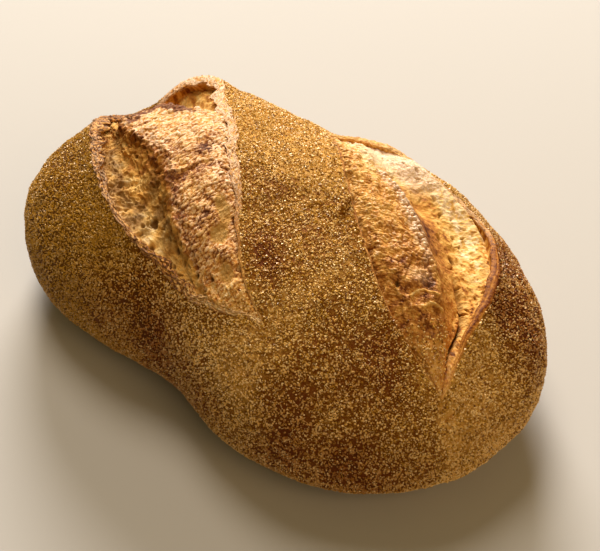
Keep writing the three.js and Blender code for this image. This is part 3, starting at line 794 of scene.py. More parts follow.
def right_masks(along, across, travel, width, share, drop, crest, beads, rims):
    """Bake, flour and gloss of the right cut's inside; the bake also holds painted shade, and the flour
    painted light, in places.
    """
    beads, bead_highlight = beads
    skin = smooth(0.53, 0.47, width)
    mottled = layered(along / 5, travel / 5, 81, 3)
    tip = smooth(0.78, 0.93, share)
    # Painted shade in the brown scoop beside a blister
    scoop_shade = spot(along, across, 70, 48, 6, 4)
    # Lighter crests and darker cracks in the skin: partly baked colour, partly painted highlight and shade
    bake_skin = 0.5 + 0.24 * scoop_shade + 0.16 * smooth(0.42, 0.66, share) + 0.14 * mottled \
        - 0.06 * smooth(0.25, 0.05, width) + 0.3 * (0.4 - crest) * (1 - tip) - 0.14 * tip
    lower = smooth(0.46, 0.66, share)
    # Painted shade: more bake on the crumb wall towards the near tip
    shaded = smooth(0.5, 0.76, share)
    down_wall = [0.76 - 0.16 * lower, 0.8 - 0.24 * lower, 0.52 + 0 * drop, 0.12 + 0.26 * shaded,
                 0.18 + 0.26 * shaded]
    bake_torn = mixed(down_wall, 2 * width - 1) + 0.16 * mottled \
        + 0.3 * smooth(0.84, 0.97, width) * smooth(0, 0.6, layered(along / 3, travel / 3, 88, 2))
    bake_torn = blend(bake_torn, 0.46 + 0.1 * mottled, smooth(0.8, 0.94, share))
    # Painted highlight on the bead tops: less bake here, and flour below
    bake = blend(bake_torn, bake_skin, skin) + 0.12 * beads - 0.34 * bead_highlight
    torn = smooth(0.36, 0.24, share) * smooth(0.22, 0.4, width)
    # Painted shade under the ear's lip at the far end: more bake on the crumb there
    shade_under_lip = smooth(0.86, 0.95, width) * smooth(0.1, 0.06, share)
    swollen = swollen_edge(width, share)
    bake = blend(bake, 0.24 + 0.3 * mottled, torn) + 0.45 * shade_under_lip
    # Painted shade in the crevice at along -3, across 50: more bake
    fold = spot(along, across, -3, 50, 5, 3)
    pale = spot(along, across, 66, 45, 3.5, 5)
    white = spot(along, across, -19, 53, 11, 8)
    bake = bake + 0.5 * fold - 0.4 * rims - 0.25 * pale - 0.3 * white
    # On the sunny side of the swollen far edge the crumb is whiter and less baked: partly pale crumb, partly
    # painted light
    sunny = smooth(0.36, 0.27, share)
    cavity = window(0.56, 0.66, 0.8, 0.88, width) * window(0.29, 0.34, 0.4, 0.46, share)
    bake = blend(bake, 0.12 + 0.2 * mottled, smooth(0, 0.4, swollen) * sunny)
    bake = blend(bake, 0.5 + 0.25 * mottled, 0.85 * cavity)
    bake = bake + smooth(0.7, 0.8, width) * (1 - swollen) * 0.4 \
        * smooth(0, 0.8, layered(along / 4, travel / 3, 86, 3))
    speck = smooth(-0.1, 0.4, layered(along / 1.4, travel / 1.4, 83, 2))
    rim_flour = smooth(0.82, 0.92, width) * window(0.26, 0.34, 0.42, 0.5, share)
    # Flour, also painted light: whiter on the sunny far edge in part, a painted highlight on bead tops, and
    # on skin crests partly flour, partly painted highlight
    flour = 0.3 * torn * speck + 0.8 * smooth(0, 0.5, swollen) * sunny + 0.4 * white + 0.35 * pale \
        + 0.6 * rim_flour * speck + 1.1 * bead_highlight * smooth(0.68, 0.5, share) + 0.2 * tip * speck \
        + 0.45 * skin * speck * smooth(0.4, 0.75, crest) * (1 - tip) * smooth(0.9, 0.5, share)
    gloss = skin * smooth(0.3, 0.7, crest) * (1 - 0.9 * tip) + 0.9 * beads
    return np.clip(bake, 0, 1), np.clip(flour, 0, 1), np.clip(gloss, 0, 1)


def slit_and_crack(along, share, width, between):
    """Depth of the right cut's slit and of the crack along its hinge, and the painted shade in both."""
    low, high = SLIT_SPAN
    at = through(SLIT_AT, (share - low) / (high - low))
    slit = window(low, low + 0.08, high - 0.06, high, share) * np.exp(-((between - at) / SLIT_HALF) ** 2)
    crack = smooth(0.05, 0.01, width) * window(0.05, 0.1, 0.6, 0.82, share) \
        * smooth(-0.6, 0.3, noise(along / 9, 0 * along, 99))
    near_end = smooth(0.76, 0.86, share)
    return (2.4 + 1.6 * near_end) * slit + 1.8 * crack, np.maximum((0.5 + 0.4 * near_end) * slit, 0.8 * crack)


def valley_shade(along, across, travel, share, width, between, drop, risen):
    """Painted shade in the left cut's sheltered valley and hood, under its ear and in its hollows, and the
    paler pockets in it.
    """
    sheltered = smooth(0.5, 0.6, width) * smooth(1, 4, drop) * risen \
        + 0.5 * (1 - risen) * smooth(0.08, 0.2, width)
    uneven = 0.5 * layered(along / 9, travel / 5, 93, 3)
    pockets = spots(along, across, PALE_POCKETS)
    opened = 1 - 0.8 * smooth(-26, -50, along) * smooth(0.86, 0.78, between) * risen
    under_ear = smooth(0.83, 0.88, between) * window(0.32, 0.38, 0.62, 0.72, share)
    dark = np.maximum(sheltered * opened * np.clip(0.58 + uneven - 0.7 * pockets, 0, 0.85),
                      under_ear * np.clip(0.72 + uneven, 0, 0.9))
    return np.maximum(dark, 0.45 * smooth(0.8, 1.7, bowls(along, across, LEFT_HOLLOWS))), pockets


def off_contour(contour, which, out, height):
    """Places beside a cut's line: a distance out from it and a height over the crust."""
    return contour["point"][which] + out * contour["outward"][which] + height * contour["normal"][which]


def bloom_mesh(form, cut, rows, columns):
    """The torn inside of a cut as a closed slab: a fine upper face over a plain underside."""
    left = cut["name"] == "left"
    contour = form.contour(cut, rows)
    index = np.arange(1, rows)
    hinge, ear = index, 2 * rows - index
    share, width = np.broadcast_arrays(index[:, None] / rows, np.linspace(0, 1, columns + 1)[None, :])
    ridge_at = through(cut["ridge_at"], share)
    between = np.where(width < 0.5, 2 * width * ridge_at, ridge_at + (2 * width - 1) * (1 - ridge_at))
    x, y = (blend(contour[axis][hinge][:, None], contour[axis][ear][:, None], between) for axis in "xy")
    point, normal = form.crust_top(x, y)
    along, across = form.plan_to_cut(x, y)
    profile, drop, risen, brink = bloom_profile(cut, share, width, between)
    base = point + normal * profile[..., None]
    travel = surface_travel(base, across)
    places = (along, across, travel, width, share)
    if left:
        relief, crest, edge, holes, ledge = stretched_relief(*places)
        bake, flour, gloss = left_masks(*places, drop, risen, crest, edge, ledge)
        shade, pockets = valley_shade(along, across, travel, share, width, between, drop, risen)
        bake = bake - 0.12 * pockets
        sunk = np.zeros_like(profile)
    else:
        relief, crest, beads, holes, rims = blistered_relief(*places)
        bake, flour, gloss = right_masks(*places, drop, crest, beads, rims)
        sunk, shade = slit_and_crack(along, share, width, between)
    # Painted shade, the dark attribute: inside the bubbles, in the left cut's valley and in the right cut's
    # slit and crack
    pores, dark = pore_relief(LEFT_PORES if left else RIGHT_PORES, along, across, holes)
    dark = np.maximum(dark, shade)
    inside = window(0, 0.05, 0.95, 1, share) * window(0, 0.03, 0.985, 1, width)
    relief = inside * (relief - pores)
    point = base + grid_normal(base, normal) * relief[..., None] - normal * sunk[..., None]
    burnt = brink * window(0.2, 0.3, 0.68, 0.8, between)
    burnt = smooth(0.25, 0.55, burnt * (1 + 0.9 * layered(along / 3, across / 5, 98, 2)))
    bake = np.clip(blend(bake, 0.86, burnt), 0, 1)
    flour = flour * (1 - 0.9 * burnt)
    covered = (0.88, 0.98) if left else (0.76, 0.88)
    meal = smooth(*covered, share) * window(0, 0.04, 0.5, 0.8, width)
    meal = meal * (0.3 + 0.5 * smooth(-0.3, 0.3, noise(along / 4, across / 4, 97)))

    for column, side in ((0, hinge), (columns, ear)):
        point[:, column] = off_contour(contour, side, CRUMB_MARGIN, profile[:, column][:, None])
    tips = np.array([0, rows])
    hidden = [off_contour(contour, tips, CRUMB_MARGIN, -RIM_SINK)]
    hidden += [off_contour(contour, side, CRUMB_MARGIN, -CRUMB_DEPTH) for side in (hinge, ear, tips)]
    points = np.concatenate([point.reshape(-1, 3), *hidden])
    faces = slab_faces(rows - 1, columns + 1)
    plain = {"bake": 0.5, "flour": 0.0, "gloss": 0.0, "dark": 0.0, "meal": 0.0}
    attributes = {name: np.full(len(points), value) for name, value in plain.items()}
    for name, values in zip(plain, (bake, flour, gloss, dark, meal)):
        attributes[name][:values.size] = values.ravel()
    attributes["toast_and_shade"] = toast_and_shade_mask(form, points)
    attributes["gold"] = gold_mask(form, points)
    return points, outward_faces(points, faces), attributes


def slab_faces(rows, columns):
    """Triangles of a gridded upper face, its walls and its two-column underside, closed at both tips."""
    first = np.arange(rows * columns).reshape(rows, columns)
    a, b, c, d = first[:-1, :-1], first[1:, :-1], first[1:, 1:], first[:-1, 1:]
    faces = [triangles(np.stack([a.ravel(), b.ravel(), c.ravel(), d.ravel()], -1))]
    far_tip, near_tip = rows * columns, rows * columns + 1
    under_hinge = rows * columns + 2 + np.arange(rows)
    under_ear = under_hinge + rows
    far_under, near_under = under_ear[-1] + 1, under_ear[-1] + 2
    faces.append(np.array([[far_tip, first[0, k], first[0, k + 1]] for k in range(columns - 1)]))
    faces.append(np.array([[near_tip, first[-1, k + 1], first[-1, k]] for k in range(columns - 1)]))
    upper = [far_tip, *first[:, 0], near_tip, *first[::-1, -1]]
    lower = [far_under, *under_hinge, near_under, *under_ear[::-1]]
    walls = np.array([[upper[k], lower[k], lower[(k + 1) % len(lower)], upper[(k + 1) % len(upper)]]
                      for k in range(len(upper))])
    faces.append(triangles(walls))
    floor = np.stack([under_hinge[:-1], under_ear[:-1], under_ear[1:], under_hinge[1:]], -1)
    faces.append(triangles(floor))
    faces.append(np.array([[far_under, under_ear[0], under_hinge[0]],
                           [near_under, under_hinge[-1], under_ear[-1]]]))
    return np.concatenate(faces)


def pore_relief(places, along, across, holes):
    """Depth of the open bubbles, and the painted shade inside them."""
    bend = 0.35 * noise(along / 2.2, across / 2.2, 95)
    depth = 1.7 * holes
    for *place, deep in places:
        inside = oval(along, across, *place) + bend
        depth = np.maximum(depth, deep * np.exp(-np.maximum(inside, 0) ** 2))
    return depth, smooth(0.5, 2.4, depth)


# Lips round the cuts

def contour_turn(contour):
    """Radius of a circle as long as the contour, and the angle on it of each place."""
    steps = np.linalg.norm(np.diff(contour["point"], axis=0, append=contour["point"][:1]), axis=1)
    travel = np.cumsum(steps)
    radius = travel[-1] / (2 * np.pi)
    return radius, travel / radius


def contour_noise(contour, pitch, seed):
    """Noise along a contour that joins up with itself."""
    radius, turn = contour_turn(contour)
    return noise(radius * np.cos(turn) / pitch, radius * np.sin(turn) / pitch, seed)


def lip_section(rise, band, curl, reach_share):
    """Corners of a lip's cross-section, (out, height), for each place on its line."""
    brim = rise - curl * band
    flank = [(out, rise * reach_share(out) + lift)
             for out, lift in ((12, -3.0), (8, -0.7), (5.5, 0.2), (2.6, 0.2), (0.9, 0.22))]
    curled = [(0.1, rise + 0.2), (-0.5 * band, 0.7 * rise + 0.3 * brim + 0.15), (-band, brim - 0.1),
              (-band - 0.1, brim - 0.5 - 1.4 * curl)]
    hidden = [(0.4, -3.2), (1.5, -14.0), (9.0, -14.0)]
    corners = [np.stack([out + 0 * rise, height + 0 * rise], -1) for out, height in flank + curled + hidden]
    return np.stack(corners, 1)


def ring_faces(rings, count):
    """Triangles of a tube that closes on itself, from rings of as many points each."""
    row = np.arange(rings)[:, None] * count
    column = np.arange(count)[None, :]
    next_row, next_column = np.roll(row, -1, 0), (column + 1) % count
    corners = (row + column, next_row + column, next_row + next_column, row + next_column)
    return triangles(np.stack([corner.ravel() for corner in corners], -1))


def lip_mesh(form, cut, steps, samples):
    """The lifted lip round a cut: its flank on the crust, its torn brim and its hidden inner side."""
    contour = form.contour(cut, steps)

    def side(row):
        on_hinge, on_ear = (through(cut[edge + row], contour["share"]) for edge in ("hinge_", "ear_"))
        return np.where(contour["on_hinge"], on_hinge, on_ear)[:, None]

    grit, bare = side("grit"), side("bare")
    seed = cut["seed"]
    band = side("band")[:, 0] * (1 + (0.2 + 0.4 * grit[:, 0]) * contour_noise(contour, 9, seed + 21)
                                 + 0.25 * grit[:, 0] * contour_noise(contour, 3.5, seed + 22))
    corners = lip_section(contour["rise"], band, side("curl")[:, 0], form.lip_share)
    size = corners.shape[1]
    place = np.concatenate([np.linspace(1, BRIM_END, samples, endpoint=False),
                            np.linspace(BRIM_END, size + 1, LIP_HIDDEN_STEPS, endpoint=False)])
    index = np.floor(place).astype(int)
    near = [corners[:, (index + offset) % size] for offset in NEIGHBOURS]
    line = cubic(*near, (place - index)[None, :, None])
    out, height = line[..., 0], line[..., 1]

    radius, turn = contour_turn(contour)
    turn = turn[:, None] + 0 * out
    around = np.broadcast_to(place[None, :], out.shape)
    wave_x, wave_y = (radius + 1.6 * around) * np.cos(turn), (radius + 1.6 * around) * np.sin(turn)
    line_x, line_y = radius * np.cos(turn), radius * np.sin(turn)
    rough = 0.5 * layered(wave_x / 1.7, wave_y / 1.7, seed + 13, 3)
    folds = layered(line_x / 5 + 0.9 * around, line_y / 5 - 0.7 * around, seed + 16, 3)
    plate, crack = flakes(radius * turn / 2.4 + 1.2 * folds, 1.1 * around + 0.9 * folds, seed + 26)
    streak = noise(line_x / 16 + 1.6 * around, line_y / 16 - 1.3 * around, seed + 17)
    fray = 0.9 * noise(wave_x / 1.8, wave_y / 1.8, seed + 18) + 1.1 * noise(line_x / 6, line_y / 6, seed + 24)
    ragged = 0.75 * noise(line_x / 8, line_y / 8, seed + 11) \
        + 0.3 * grit * noise(line_x / 3, line_y / 3, seed + 12)
    visible = window(2.2, 4.4, 8.2, 9.2, around)
    margin = smooth(bare + 0.5, bare - 0.5, out + fray * np.minimum(bare / 2, 1)) * smooth(1.6, 2.4, around)
    margin = np.maximum(margin, smooth(4.8, 5.2, around))
    shown = margin * smooth(9, 8.2, around)
    out = out + visible * ragged + shown * 0.35 * grit * folds * smooth(3.5, 5, around)
    crags = grit * (0.45 * rough + 0.4 * folds + 0.55 * plate - 0.2 * crack) + (1 - grit) * 0.14 * streak
    height = height + visible * 0.2 * ragged + shown * crags

    plan = contour["point"][:, None, :2] + contour["outward"][:, None, :2] * np.maximum(out, 0)[..., None]
    on_crust, _ = form.crust_top(plan[..., 0], plan[..., 1])
    nicks = nick_relief(form, on_crust.reshape(-1, 3)).reshape(out.shape)
    height = height + window(1, 1.6, 4, 5, around) * nicks
    point = (on_crust + contour["outward"][:, None] * np.minimum(out, 0)[..., None]
             + contour["normal"][:, None] * height[..., None])
    points = point.reshape(-1, 3)
    faces = ring_faces(2 * steps, len(place))

    inner = smooth(7.9, 8.4, around)
    stripes = smooth(-0.6, 0.7, layered(line_x / 3.2 + 0.1 * around, line_y / 3.2, seed + 19, 3))
    mottle = grit * (0.5 * rough + 0.2 * folds + 0.3 * crack - 0.15 * plate) + (1 - grit) * 0.16 * streak
    bake = blend(side("bake") + mottle, 0.34 + 0.46 * stripes, inner)
    powdered = smooth(-0.5, 0.2, 0.6 * folds + 1.2 * rough + 0.4 * plate - 0.6 * crack)
    toast_and_shade = toast_and_shade_mask(form, points)
    meal = (1 - margin) * window(1.3, 1.7, 4.8, 5.2, around) * (1 - 0.45 * toast_and_shade.reshape(out.shape))
    flour = side("flour") * (1 - inner) * powdered
    gloss = np.clip(1 - 0.8 * grit, 0, 1) * margin * (1 - inner)
    masks = {"outer": 1 - margin, "bake": np.clip(bake, 0, 1), "flour": np.clip(flour, 0, 1),
             "meal": meal, "gloss": gloss}
    flat_masks = {name: values.ravel() for name, values in masks.items()}
    flat_masks["toast_and_shade"] = toast_and_shade
    flat_masks["gold"] = gold_mask(form, points)
    return points, outward_faces(points, faces), flat_masks


# Materials

def feed(tree, socket, source):
    """Gives a socket another node's output, a colour or a plain value."""
    if isinstance(source, bpy.types.NodeSocket):
        tree.links.new(source, socket)
    elif socket.type == "RGBA":
        socket.default_value = (*source[:3], 1.0)
    else:
        socket.default_value = source


def new_node(tree, kind, inputs, **settings):
    """Outputs of a new node with these settings and inputs."""
    node = tree.nodes.new(kind)
    for name, value in settings.items():
        setattr(node, name, value)
    for name, source in inputs.items():
        feed(tree, node.inputs[name], source)
    return node.outputs


class Look:
    """A node material under construction, with short names for the nodes that the bread needs."""

    sheen_tint = (1.0, 0.82, 0.62)

    def __init__(self, name):
        self.material = bpy.data.materials.new(name)
        self.material.use_nodes = True
        self.place = self.node("ShaderNodeTexCoord", {})["Object"]

    def node(self, kind, inputs, **settings):
        return new_node(self.material.node_tree, kind, inputs, **settings)

    def attribute(self, name):
        return self.node("ShaderNodeAttribute", {}, attribute_name=name)["Fac"]

    def noise(self, size, detail=3.0, roughness=0.55):
        """Noise with features of a size in metres, about 0 to 1."""
        inputs = {"Vector": self.place, "Scale": 1 / size, "Detail": detail, "Roughness": roughness}
        return self.node("ShaderNodeTexNoise", inputs)["Fac"]

    def bubbles(self, size):
        return self.node("ShaderNodeTexVoronoi", {"Vector": self.place, "Scale": 1 / size})["Distance"]

    def math(self, operation, first, second):
        return self.node("ShaderNodeMath", {0: first, 1: second}, operation=operation)["Value"]

    def spread(self, value, low, high, to_low=0.0, to_high=1.0):
        inputs = {"Value": value, "From Min": low, "From Max": high, "To Min": to_low, "To Max": to_high}
        return self.node("ShaderNodeMapRange", inputs)["Result"]

    def mix(self, share, first, second):
        return self.node("ShaderNodeMix", {0: share, 6: first, 7: second}, data_type="RGBA")[2]

    def ramp(self, value, stops):
        """Colour between stops, (place, colour), by a value from 0 to 1."""
        outputs = self.node("ShaderNodeValToRGB", {"Fac": value})
        elements = outputs["Color"].node.color_ramp.elements
        while len(elements) < len(stops):
            elements.new(0.5)
        for element, (place, colour) in zip(elements, stops):
            element.position = place
            element.color = (*colour[:3], 1.0)
        return outputs["Color"]

    def bump(self, height, depth, under=None):
        inputs = {"Strength": 1.0, "Distance": depth, "Height": height}
        if under is not None:
            inputs["Normal"] = under
        return self.node("ShaderNodeBump", inputs)["Normal"]

    def finish(self, colour, roughness, normal=None, specular=0.35):
        inputs = {"Base Color": colour, "Roughness": roughness, "Specular IOR Level": specular,
                  "Specular Tint": self.sheen_tint}
        if normal is not None:
            inputs["Normal"] = normal
        tree = self.material.node_tree
        for name, source in inputs.items():
            feed(tree, tree.nodes["Principled BSDF"].inputs[name], source)
        return self.material


def baked_and_shaded_tone(look, colours):
    """Crust colour from pale gold to dark, by the crust's mask of baked colour and painted shade, with a fine
    mottle.
    """
    toast_and_shade = look.math("ADD", look.attribute("toast_and_shade"), look.spread(look.noise(0.004), 0.3, 0.7, -0.16, 0.16))
    baked = look.ramp(toast_and_shade, [(0.0, colours.crust_gold), (0.35, colours.crust_brown),
                              (0.7, colours.crust_red), (1.0, colours.crust_dark)])
    return look.mix(look.math("MULTIPLY", look.attribute("gold"), 0.7), baked, colours.crust_olive)


def torn_tone(look, colours):
    """Crumb colour from cream to dark brown, by the bake attribute, with flour on top; in places both carry
    painted shade and highlight.
    """
    bake = look.math("ADD", look.attribute("bake"), look.spread(look.noise(0.0016), 0.3, 0.7, -0.1, 0.1))
    baked = look.ramp(bake, [(0.0, colours.crumb_cream), (0.22, colours.crumb_yellow),
                             (0.45, colours.skin_tan), (0.66, colours.skin_brown),
                             (0.86, colours.crust_red), (1.0, colours.crust_dark)])
    speck = look.spread(look.noise(0.0009), 0.35, 0.6, 0.35, 1.0)
    powder = look.math("MULTIPLY", look.attribute("flour"), speck)
    dusted = look.mix(look.spread(powder, 0, 0.5), baked, colours.warm_flour)
    return look.mix(look.spread(powder, 0.5, 1), dusted, colours.flour)


def dusted_tone(look, colours):
    """Crust colour under a dust of the finest meal, and the share of dust."""
    dust = look.spread(look.noise(0.0009, 3.0, 0.7), 0.45, 0.58)
    dust = look.math("MULTIPLY", dust, look.spread(look.attribute("toast_and_shade"), 0.05, 0.7, 0.7, 0.03))
    powder = look.mix(look.spread(look.noise(0.0022), 0.35, 0.65), colours.meal_gold, colours.meal_yellow)
    return look.mix(dust, baked_and_shaded_tone(look, colours), powder), dust


def crust_material(colours):
    look = Look("baked_crust")
    colour, dust = dusted_tone(look, colours)
    grainy = look.bump(look.noise(0.0009, 3.0, 0.6), 0.0006)
    return look.finish(colour, look.spread(dust, 0, 1, 0.72, 0.85), grainy, 0.12)


def crumb_material(colours):
    look = Look("torn_crumb")
    # Painted shade: the dark attribute darkens the crumb towards a shade brown
    colour = look.mix(look.attribute("dark"), torn_tone(look, colours), colours.painted_shade)
    fine = look.bump(look.noise(0.0009, 3.0, 0.6), 0.0003)
    pitted = look.bump(look.bubbles(0.0017), 0.00025, fine)
    roughness = look.math("SUBTRACT", 0.88, look.math("MULTIPLY", look.attribute("gloss"), 0.5))
    return look.finish(colour, roughness, pitted)


def lip_material(colours):
    look = Look("curled_lip")
    outer_tone, _ = dusted_tone(look, colours)
    colour = look.mix(look.attribute("outer"), torn_tone(look, colours), outer_tone)
    fine = look.bump(look.noise(0.0010, 3.0, 0.6), 0.0004)
    roughness = look.math("SUBTRACT", 0.85, look.math("MULTIPLY", look.attribute("gloss"), 0.4))
    return look.finish(colour, roughness, fine, 0.08)


def meal_material(name, pale, deep, colours):
    """Corn meal: each grain has its own tone between a pale and a deep colour."""
    look = Look(name)
    place = look.attribute("tone")
    tone = look.mix(place, pale, deep)
    # Grains brown with the crust's mask of baked colour and painted shade
    toasted = look.math("MULTIPLY", look.spread(look.attribute("toast_and_shade"), 0.35, 0.9),
                        look.spread(place, 0.22, 0.45, 0.1, 1.0))
    browned = look.mix(toasted, tone, colours.meal_brown)
    golden = look.math("MULTIPLY", look.attribute("gold"), look.spread(place, 0.2, 0.5, 0.4, 0.95))
    colour = look.mix(golden, browned, colours.meal_gold)
    return look.finish(colour, 0.34, None, 0.42)


# Corn meal

def meal_tree():
    """Scatters grains over a crust, turns and sizes each by a seeded rule and makes them one mesh."""
    tree = bpy.data.node_groups.new("corn_meal", "GeometryNodeTree")
    face = tree.interface
    face.new_socket("Geometry", in_out="INPUT", socket_type="NodeSocketGeometry")
    for name, kind, default in MEAL_INPUTS:
        socket = face.new_socket(name, in_out="INPUT", socket_type="NodeSocket" + kind)
        if default is not None:
            socket.default_value = default
    face.new_socket("Geometry", in_out="OUTPUT", socket_type="NodeSocketGeometry")

    def node(kind, inputs, **settings):
        return new_node(tree, kind, inputs, **settings)

    given = node("NodeGroupInput", {})
    seed = given["Seed"]

    # Where grains lie: in clumps, and only where the crust has meal
    clumps = node("ShaderNodeTexNoise", {"Scale": 260.0, "Detail": 2.0})
    thick = node("ShaderNodeMapRange",
                 {"Value": clumps["Fac"], "From Min": 0.36, "From Max": 0.56, "To Min": 0.4})
    coat = node("GeometryNodeInputNamedAttribute", {"Name": "meal"}, data_type="FLOAT")
    patchy = node("ShaderNodeMath", {0: thick["Result"], 1: coat["Attribute"]}, operation="MULTIPLY")
    scatter = node("GeometryNodeDistributePointsOnFaces",
                   {"Mesh": given["Geometry"], "Distance Min": given["Spacing"],
                    "Density Max": given["Density"], "Density Factor": patchy["Value"], "Seed": seed},
                   distribute_method="POISSON")
    proud = node("ShaderNodeVectorMath", {0: scatter["Normal"], "Scale": 0.00022}, operation="SCALE")
    lift = node("GeometryNodeSetPosition", {"Geometry": scatter["Points"], "Offset": proud["Vector"]})

    # The grains of one kind: those whose own number is in the given range
    kind = node("FunctionNodeRandomValue", {"Seed": 7}, data_type="FLOAT")[1]
    above = node("FunctionNodeCompare", {0: kind, 1: given["From"]}, operation="GREATER_EQUAL")
    below = node("FunctionNodeCompare", {0: kind, 1: given["To"]}, operation="LESS_THAN")
    chosen = node("FunctionNodeBooleanMath", {0: above[0], 1: below[0]})

    # Size, shape and turn of each grain
    grain = node("GeometryNodeMeshUVSphere", {"Segments": 4, "Rings": 2, "Radius": 1.0})
    size = node("FunctionNodeRandomValue", {2: given["Smallest"], 3: given["Largest"], "Seed": seed},
                data_type="FLOAT")
    shape = node("FunctionNodeRandomValue", {0: (0.75, 0.75, 0.7), 1: (1.35, 1.1, 1.0), "Seed": seed},
                 data_type="FLOAT_VECTOR")
    scale = node("ShaderNodeVectorMath", {0: shape[0], "Scale": size[1]}, operation="SCALE")
    turn = node("FunctionNodeRandomValue", {1: (6.283, 6.283, 6.283), "Seed": seed},
                data_type="FLOAT_VECTOR")
    place = node("GeometryNodeInstanceOnPoints",
                 {"Selection": chosen[0], "Points": lift["Geometry"], "Instance": grain["Mesh"],
                  "Rotation": turn[0], "Scale": scale["Vector"]})

    # Its tone, and one plain mesh of them all
    tone = node("FunctionNodeRandomValue", {"Seed": seed}, data_type="FLOAT")
    keep = node("GeometryNodeStoreNamedAttribute",
                {"Name": "tone", "Geometry": place["Instances"], "Value": tone[1]},
                data_type="FLOAT", domain="INSTANCE")
    real = node("GeometryNodeRealizeInstances", {"Geometry": keep["Geometry"]})
    paint = node("GeometryNodeSetMaterial", {"Geometry": real["Geometry"], "Material": given["Material"]})
    node("NodeGroupOutput", {"Geometry": paint["Geometry"]})
    return tree


def socket_of(tree, name):
    """Identifier of a tree's input, found by its name."""
    return next(item.identifier for item in tree.interface.items_tree
                if item.item_type == "SOCKET" and item.in_out == "INPUT" and item.name == name)


def scatter_meal(tree, carrier, name, values):
    """One kind of grain over the carrier's faces, as a plain mesh piece."""
    modifier = carrier.modifiers.new("corn_meal", "NODES")
    modifier.node_group = tree
    for label, value in values.items():
        modifier[socket_of(tree, label)] = value
    graph = bpy.context.evaluated_depsgraph_get()
    mesh = bpy.data.meshes.new_from_object(carrier.evaluated_get(graph))
    mesh.name = name
    carrier.modifiers.remove(modifier)
    return new_object(name, mesh)


def read_all(items, name, count, kind):
    """One property of all the items, as a flat array."""
    values = np.empty(count, kind)
    items.foreach_get(name, values)
    return values


def meal_carrier():
    """A passing mesh of the faces that carry meal, with their masks."""
    points, faces, masks, first = [], [], {"meal": [], "toast_and_shade": [], "gold": []}, 0
    for name in ("crust", "left_lip", "right_lip", "left_crumb", "right_crumb"):
        mesh = bpy.data.objects[name].data
        count = len(mesh.vertices)
        points.append(read_all(mesh.vertices, "co", 3 * count, np.float32).reshape(-1, 3))
        for mask, parts in masks.items():
            parts.append(read_all(mesh.attributes[mask].data, "value", count, np.float32))
        corner = read_all(mesh.loops, "vertex_index", len(mesh.loops), np.int32).reshape(-1, 3)
        covered = masks["meal"][-1][corner].max(axis=1) > 0
        faces.append(corner[covered] + first)
        first += count
    placed = np.concatenate(points) / MM - np.array([*CENTRE_SHIFT, 0.0])
    joined = {mask: np.concatenate(parts) for mask, parts in masks.items()}
    baked = bpy.data.materials["baked_crust"]
    return new_piece("meal_carrier", placed, np.concatenate(faces), baked, joined)


# Settings shown in the panel

def length(name, description, default):
    return FloatProperty(name=name, description=description, default=default, unit="LENGTH", precision=4)


def colour(name, description, default):
    return FloatVectorProperty(name=name, description=description, default=default, subtype="COLOR",
                               min=0, max=1, size=3)


class LoafSizes(bpy.types.PropertyGroup):
    half_length: length("Half length", "Half of the plain loaf's length", 0.145)
    half_width: length("Half width", "Half of the plain loaf's width", 0.0902)
    height: length("Height", "Height of the plain crown", 0.102)
    waist_height: length("Waist height", "Height of the loaf's widest line", 0.036)
    foot_sink: length("Foot sink", "How far the rounded foot would reach below its flat rest", 0.007)
    lip_reach: length("Lip reach", "Distance over which the crust lifts towards a cut", 0.017)
    plan_power: FloatProperty(name="Plan fullness", description="Squareness of the plan oval", default=2.39)
    crown_power: FloatProperty(name="Crown fullness", description="Squareness of the crown", default=2.21)
    foot_power: FloatProperty(name="Foot fullness", description="Squareness of the foot", default=2.8)
    cut_angle: FloatProperty(name="Cut slant", description="Turn of both cuts in plan",
                             default=math.radians(-29.5), subtype="ANGLE")


class SurfaceLook(bpy.types.PropertyGroup):
    crust_roughness: length("Crust roughness", "Height of the crust's small unevenness", 0.0005)
    grain_smallest: length("Smallest grain", "Half the size of the finest meal", 0.00036)
    grain_largest: length("Largest grain", "Half the size of the coarsest meal", 0.0008)
    grain_spacing: length("Grain spacing", "Least distance between two grains", 0.0005)
    seed: IntProperty(name="Seed", description="Seed of the meal's scatter", default=5)


class BreadColours(bpy.types.PropertyGroup):
    crust_gold: colour("Crust gold", "Palest baked crust", (0.60, 0.33, 0.09))
    crust_brown: colour("Crust brown", "Golden brown crust", (0.17, 0.05, 0.003))
    crust_red: colour("Crust red", "Well baked reddish crust", (0.125, 0.026, 0.003))
    crust_dark: colour("Crust dark", "Darkest baked crust", (0.06, 0.013, 0.003))
    crust_olive: colour("Crust olive", "Golden crust at the end with the left cut", (0.10, 0.04, 0.001))
    crumb_cream: colour("Crumb cream", "Fresh torn crumb", (0.86, 0.71, 0.48))
    crumb_yellow: colour("Crumb yellow", "Dried torn crumb", (0.76, 0.5, 0.18))
    skin_tan: colour("Skin tan", "Lightly baked skin in the cuts", (0.64, 0.335, 0.072))
    skin_brown: colour("Skin brown", "Browned skin in the cuts", (0.42, 0.16, 0.024))
    # Flour also paints highlights: on bead tops, on skin crests in part, and on the sunny far edge of the
    # right cut in part
    flour: colour("Flour", "Thick flour on lips and skin", (0.86, 0.68, 0.57))
    warm_flour: colour("Warm flour", "Thin flour on lips and skin", (0.70, 0.48, 0.30))
    # Painted shade colour, which the dark attribute mixes into the torn crumb: inside open bubbles, in the
    # right cut's slit and hinge crack, and in the left cut's sheltered valley, hood and hollows
    painted_shade: colour("Pore", "Inside of open bubbles", (0.16, 0.07, 0.015))
    meal_yellow: colour("Meal yellow", "Yellow corn meal", (0.78, 0.48, 0.13))
    meal_cream: colour("Meal cream", "Pale corn meal", (0.88, 0.66, 0.34))
    meal_gold: colour("Meal gold", "Golden corn meal", (0.46, 0.235, 0.012))
    meal_brown: colour("Meal brown", "Toasted corn meal", (0.34, 0.115, 0.016))


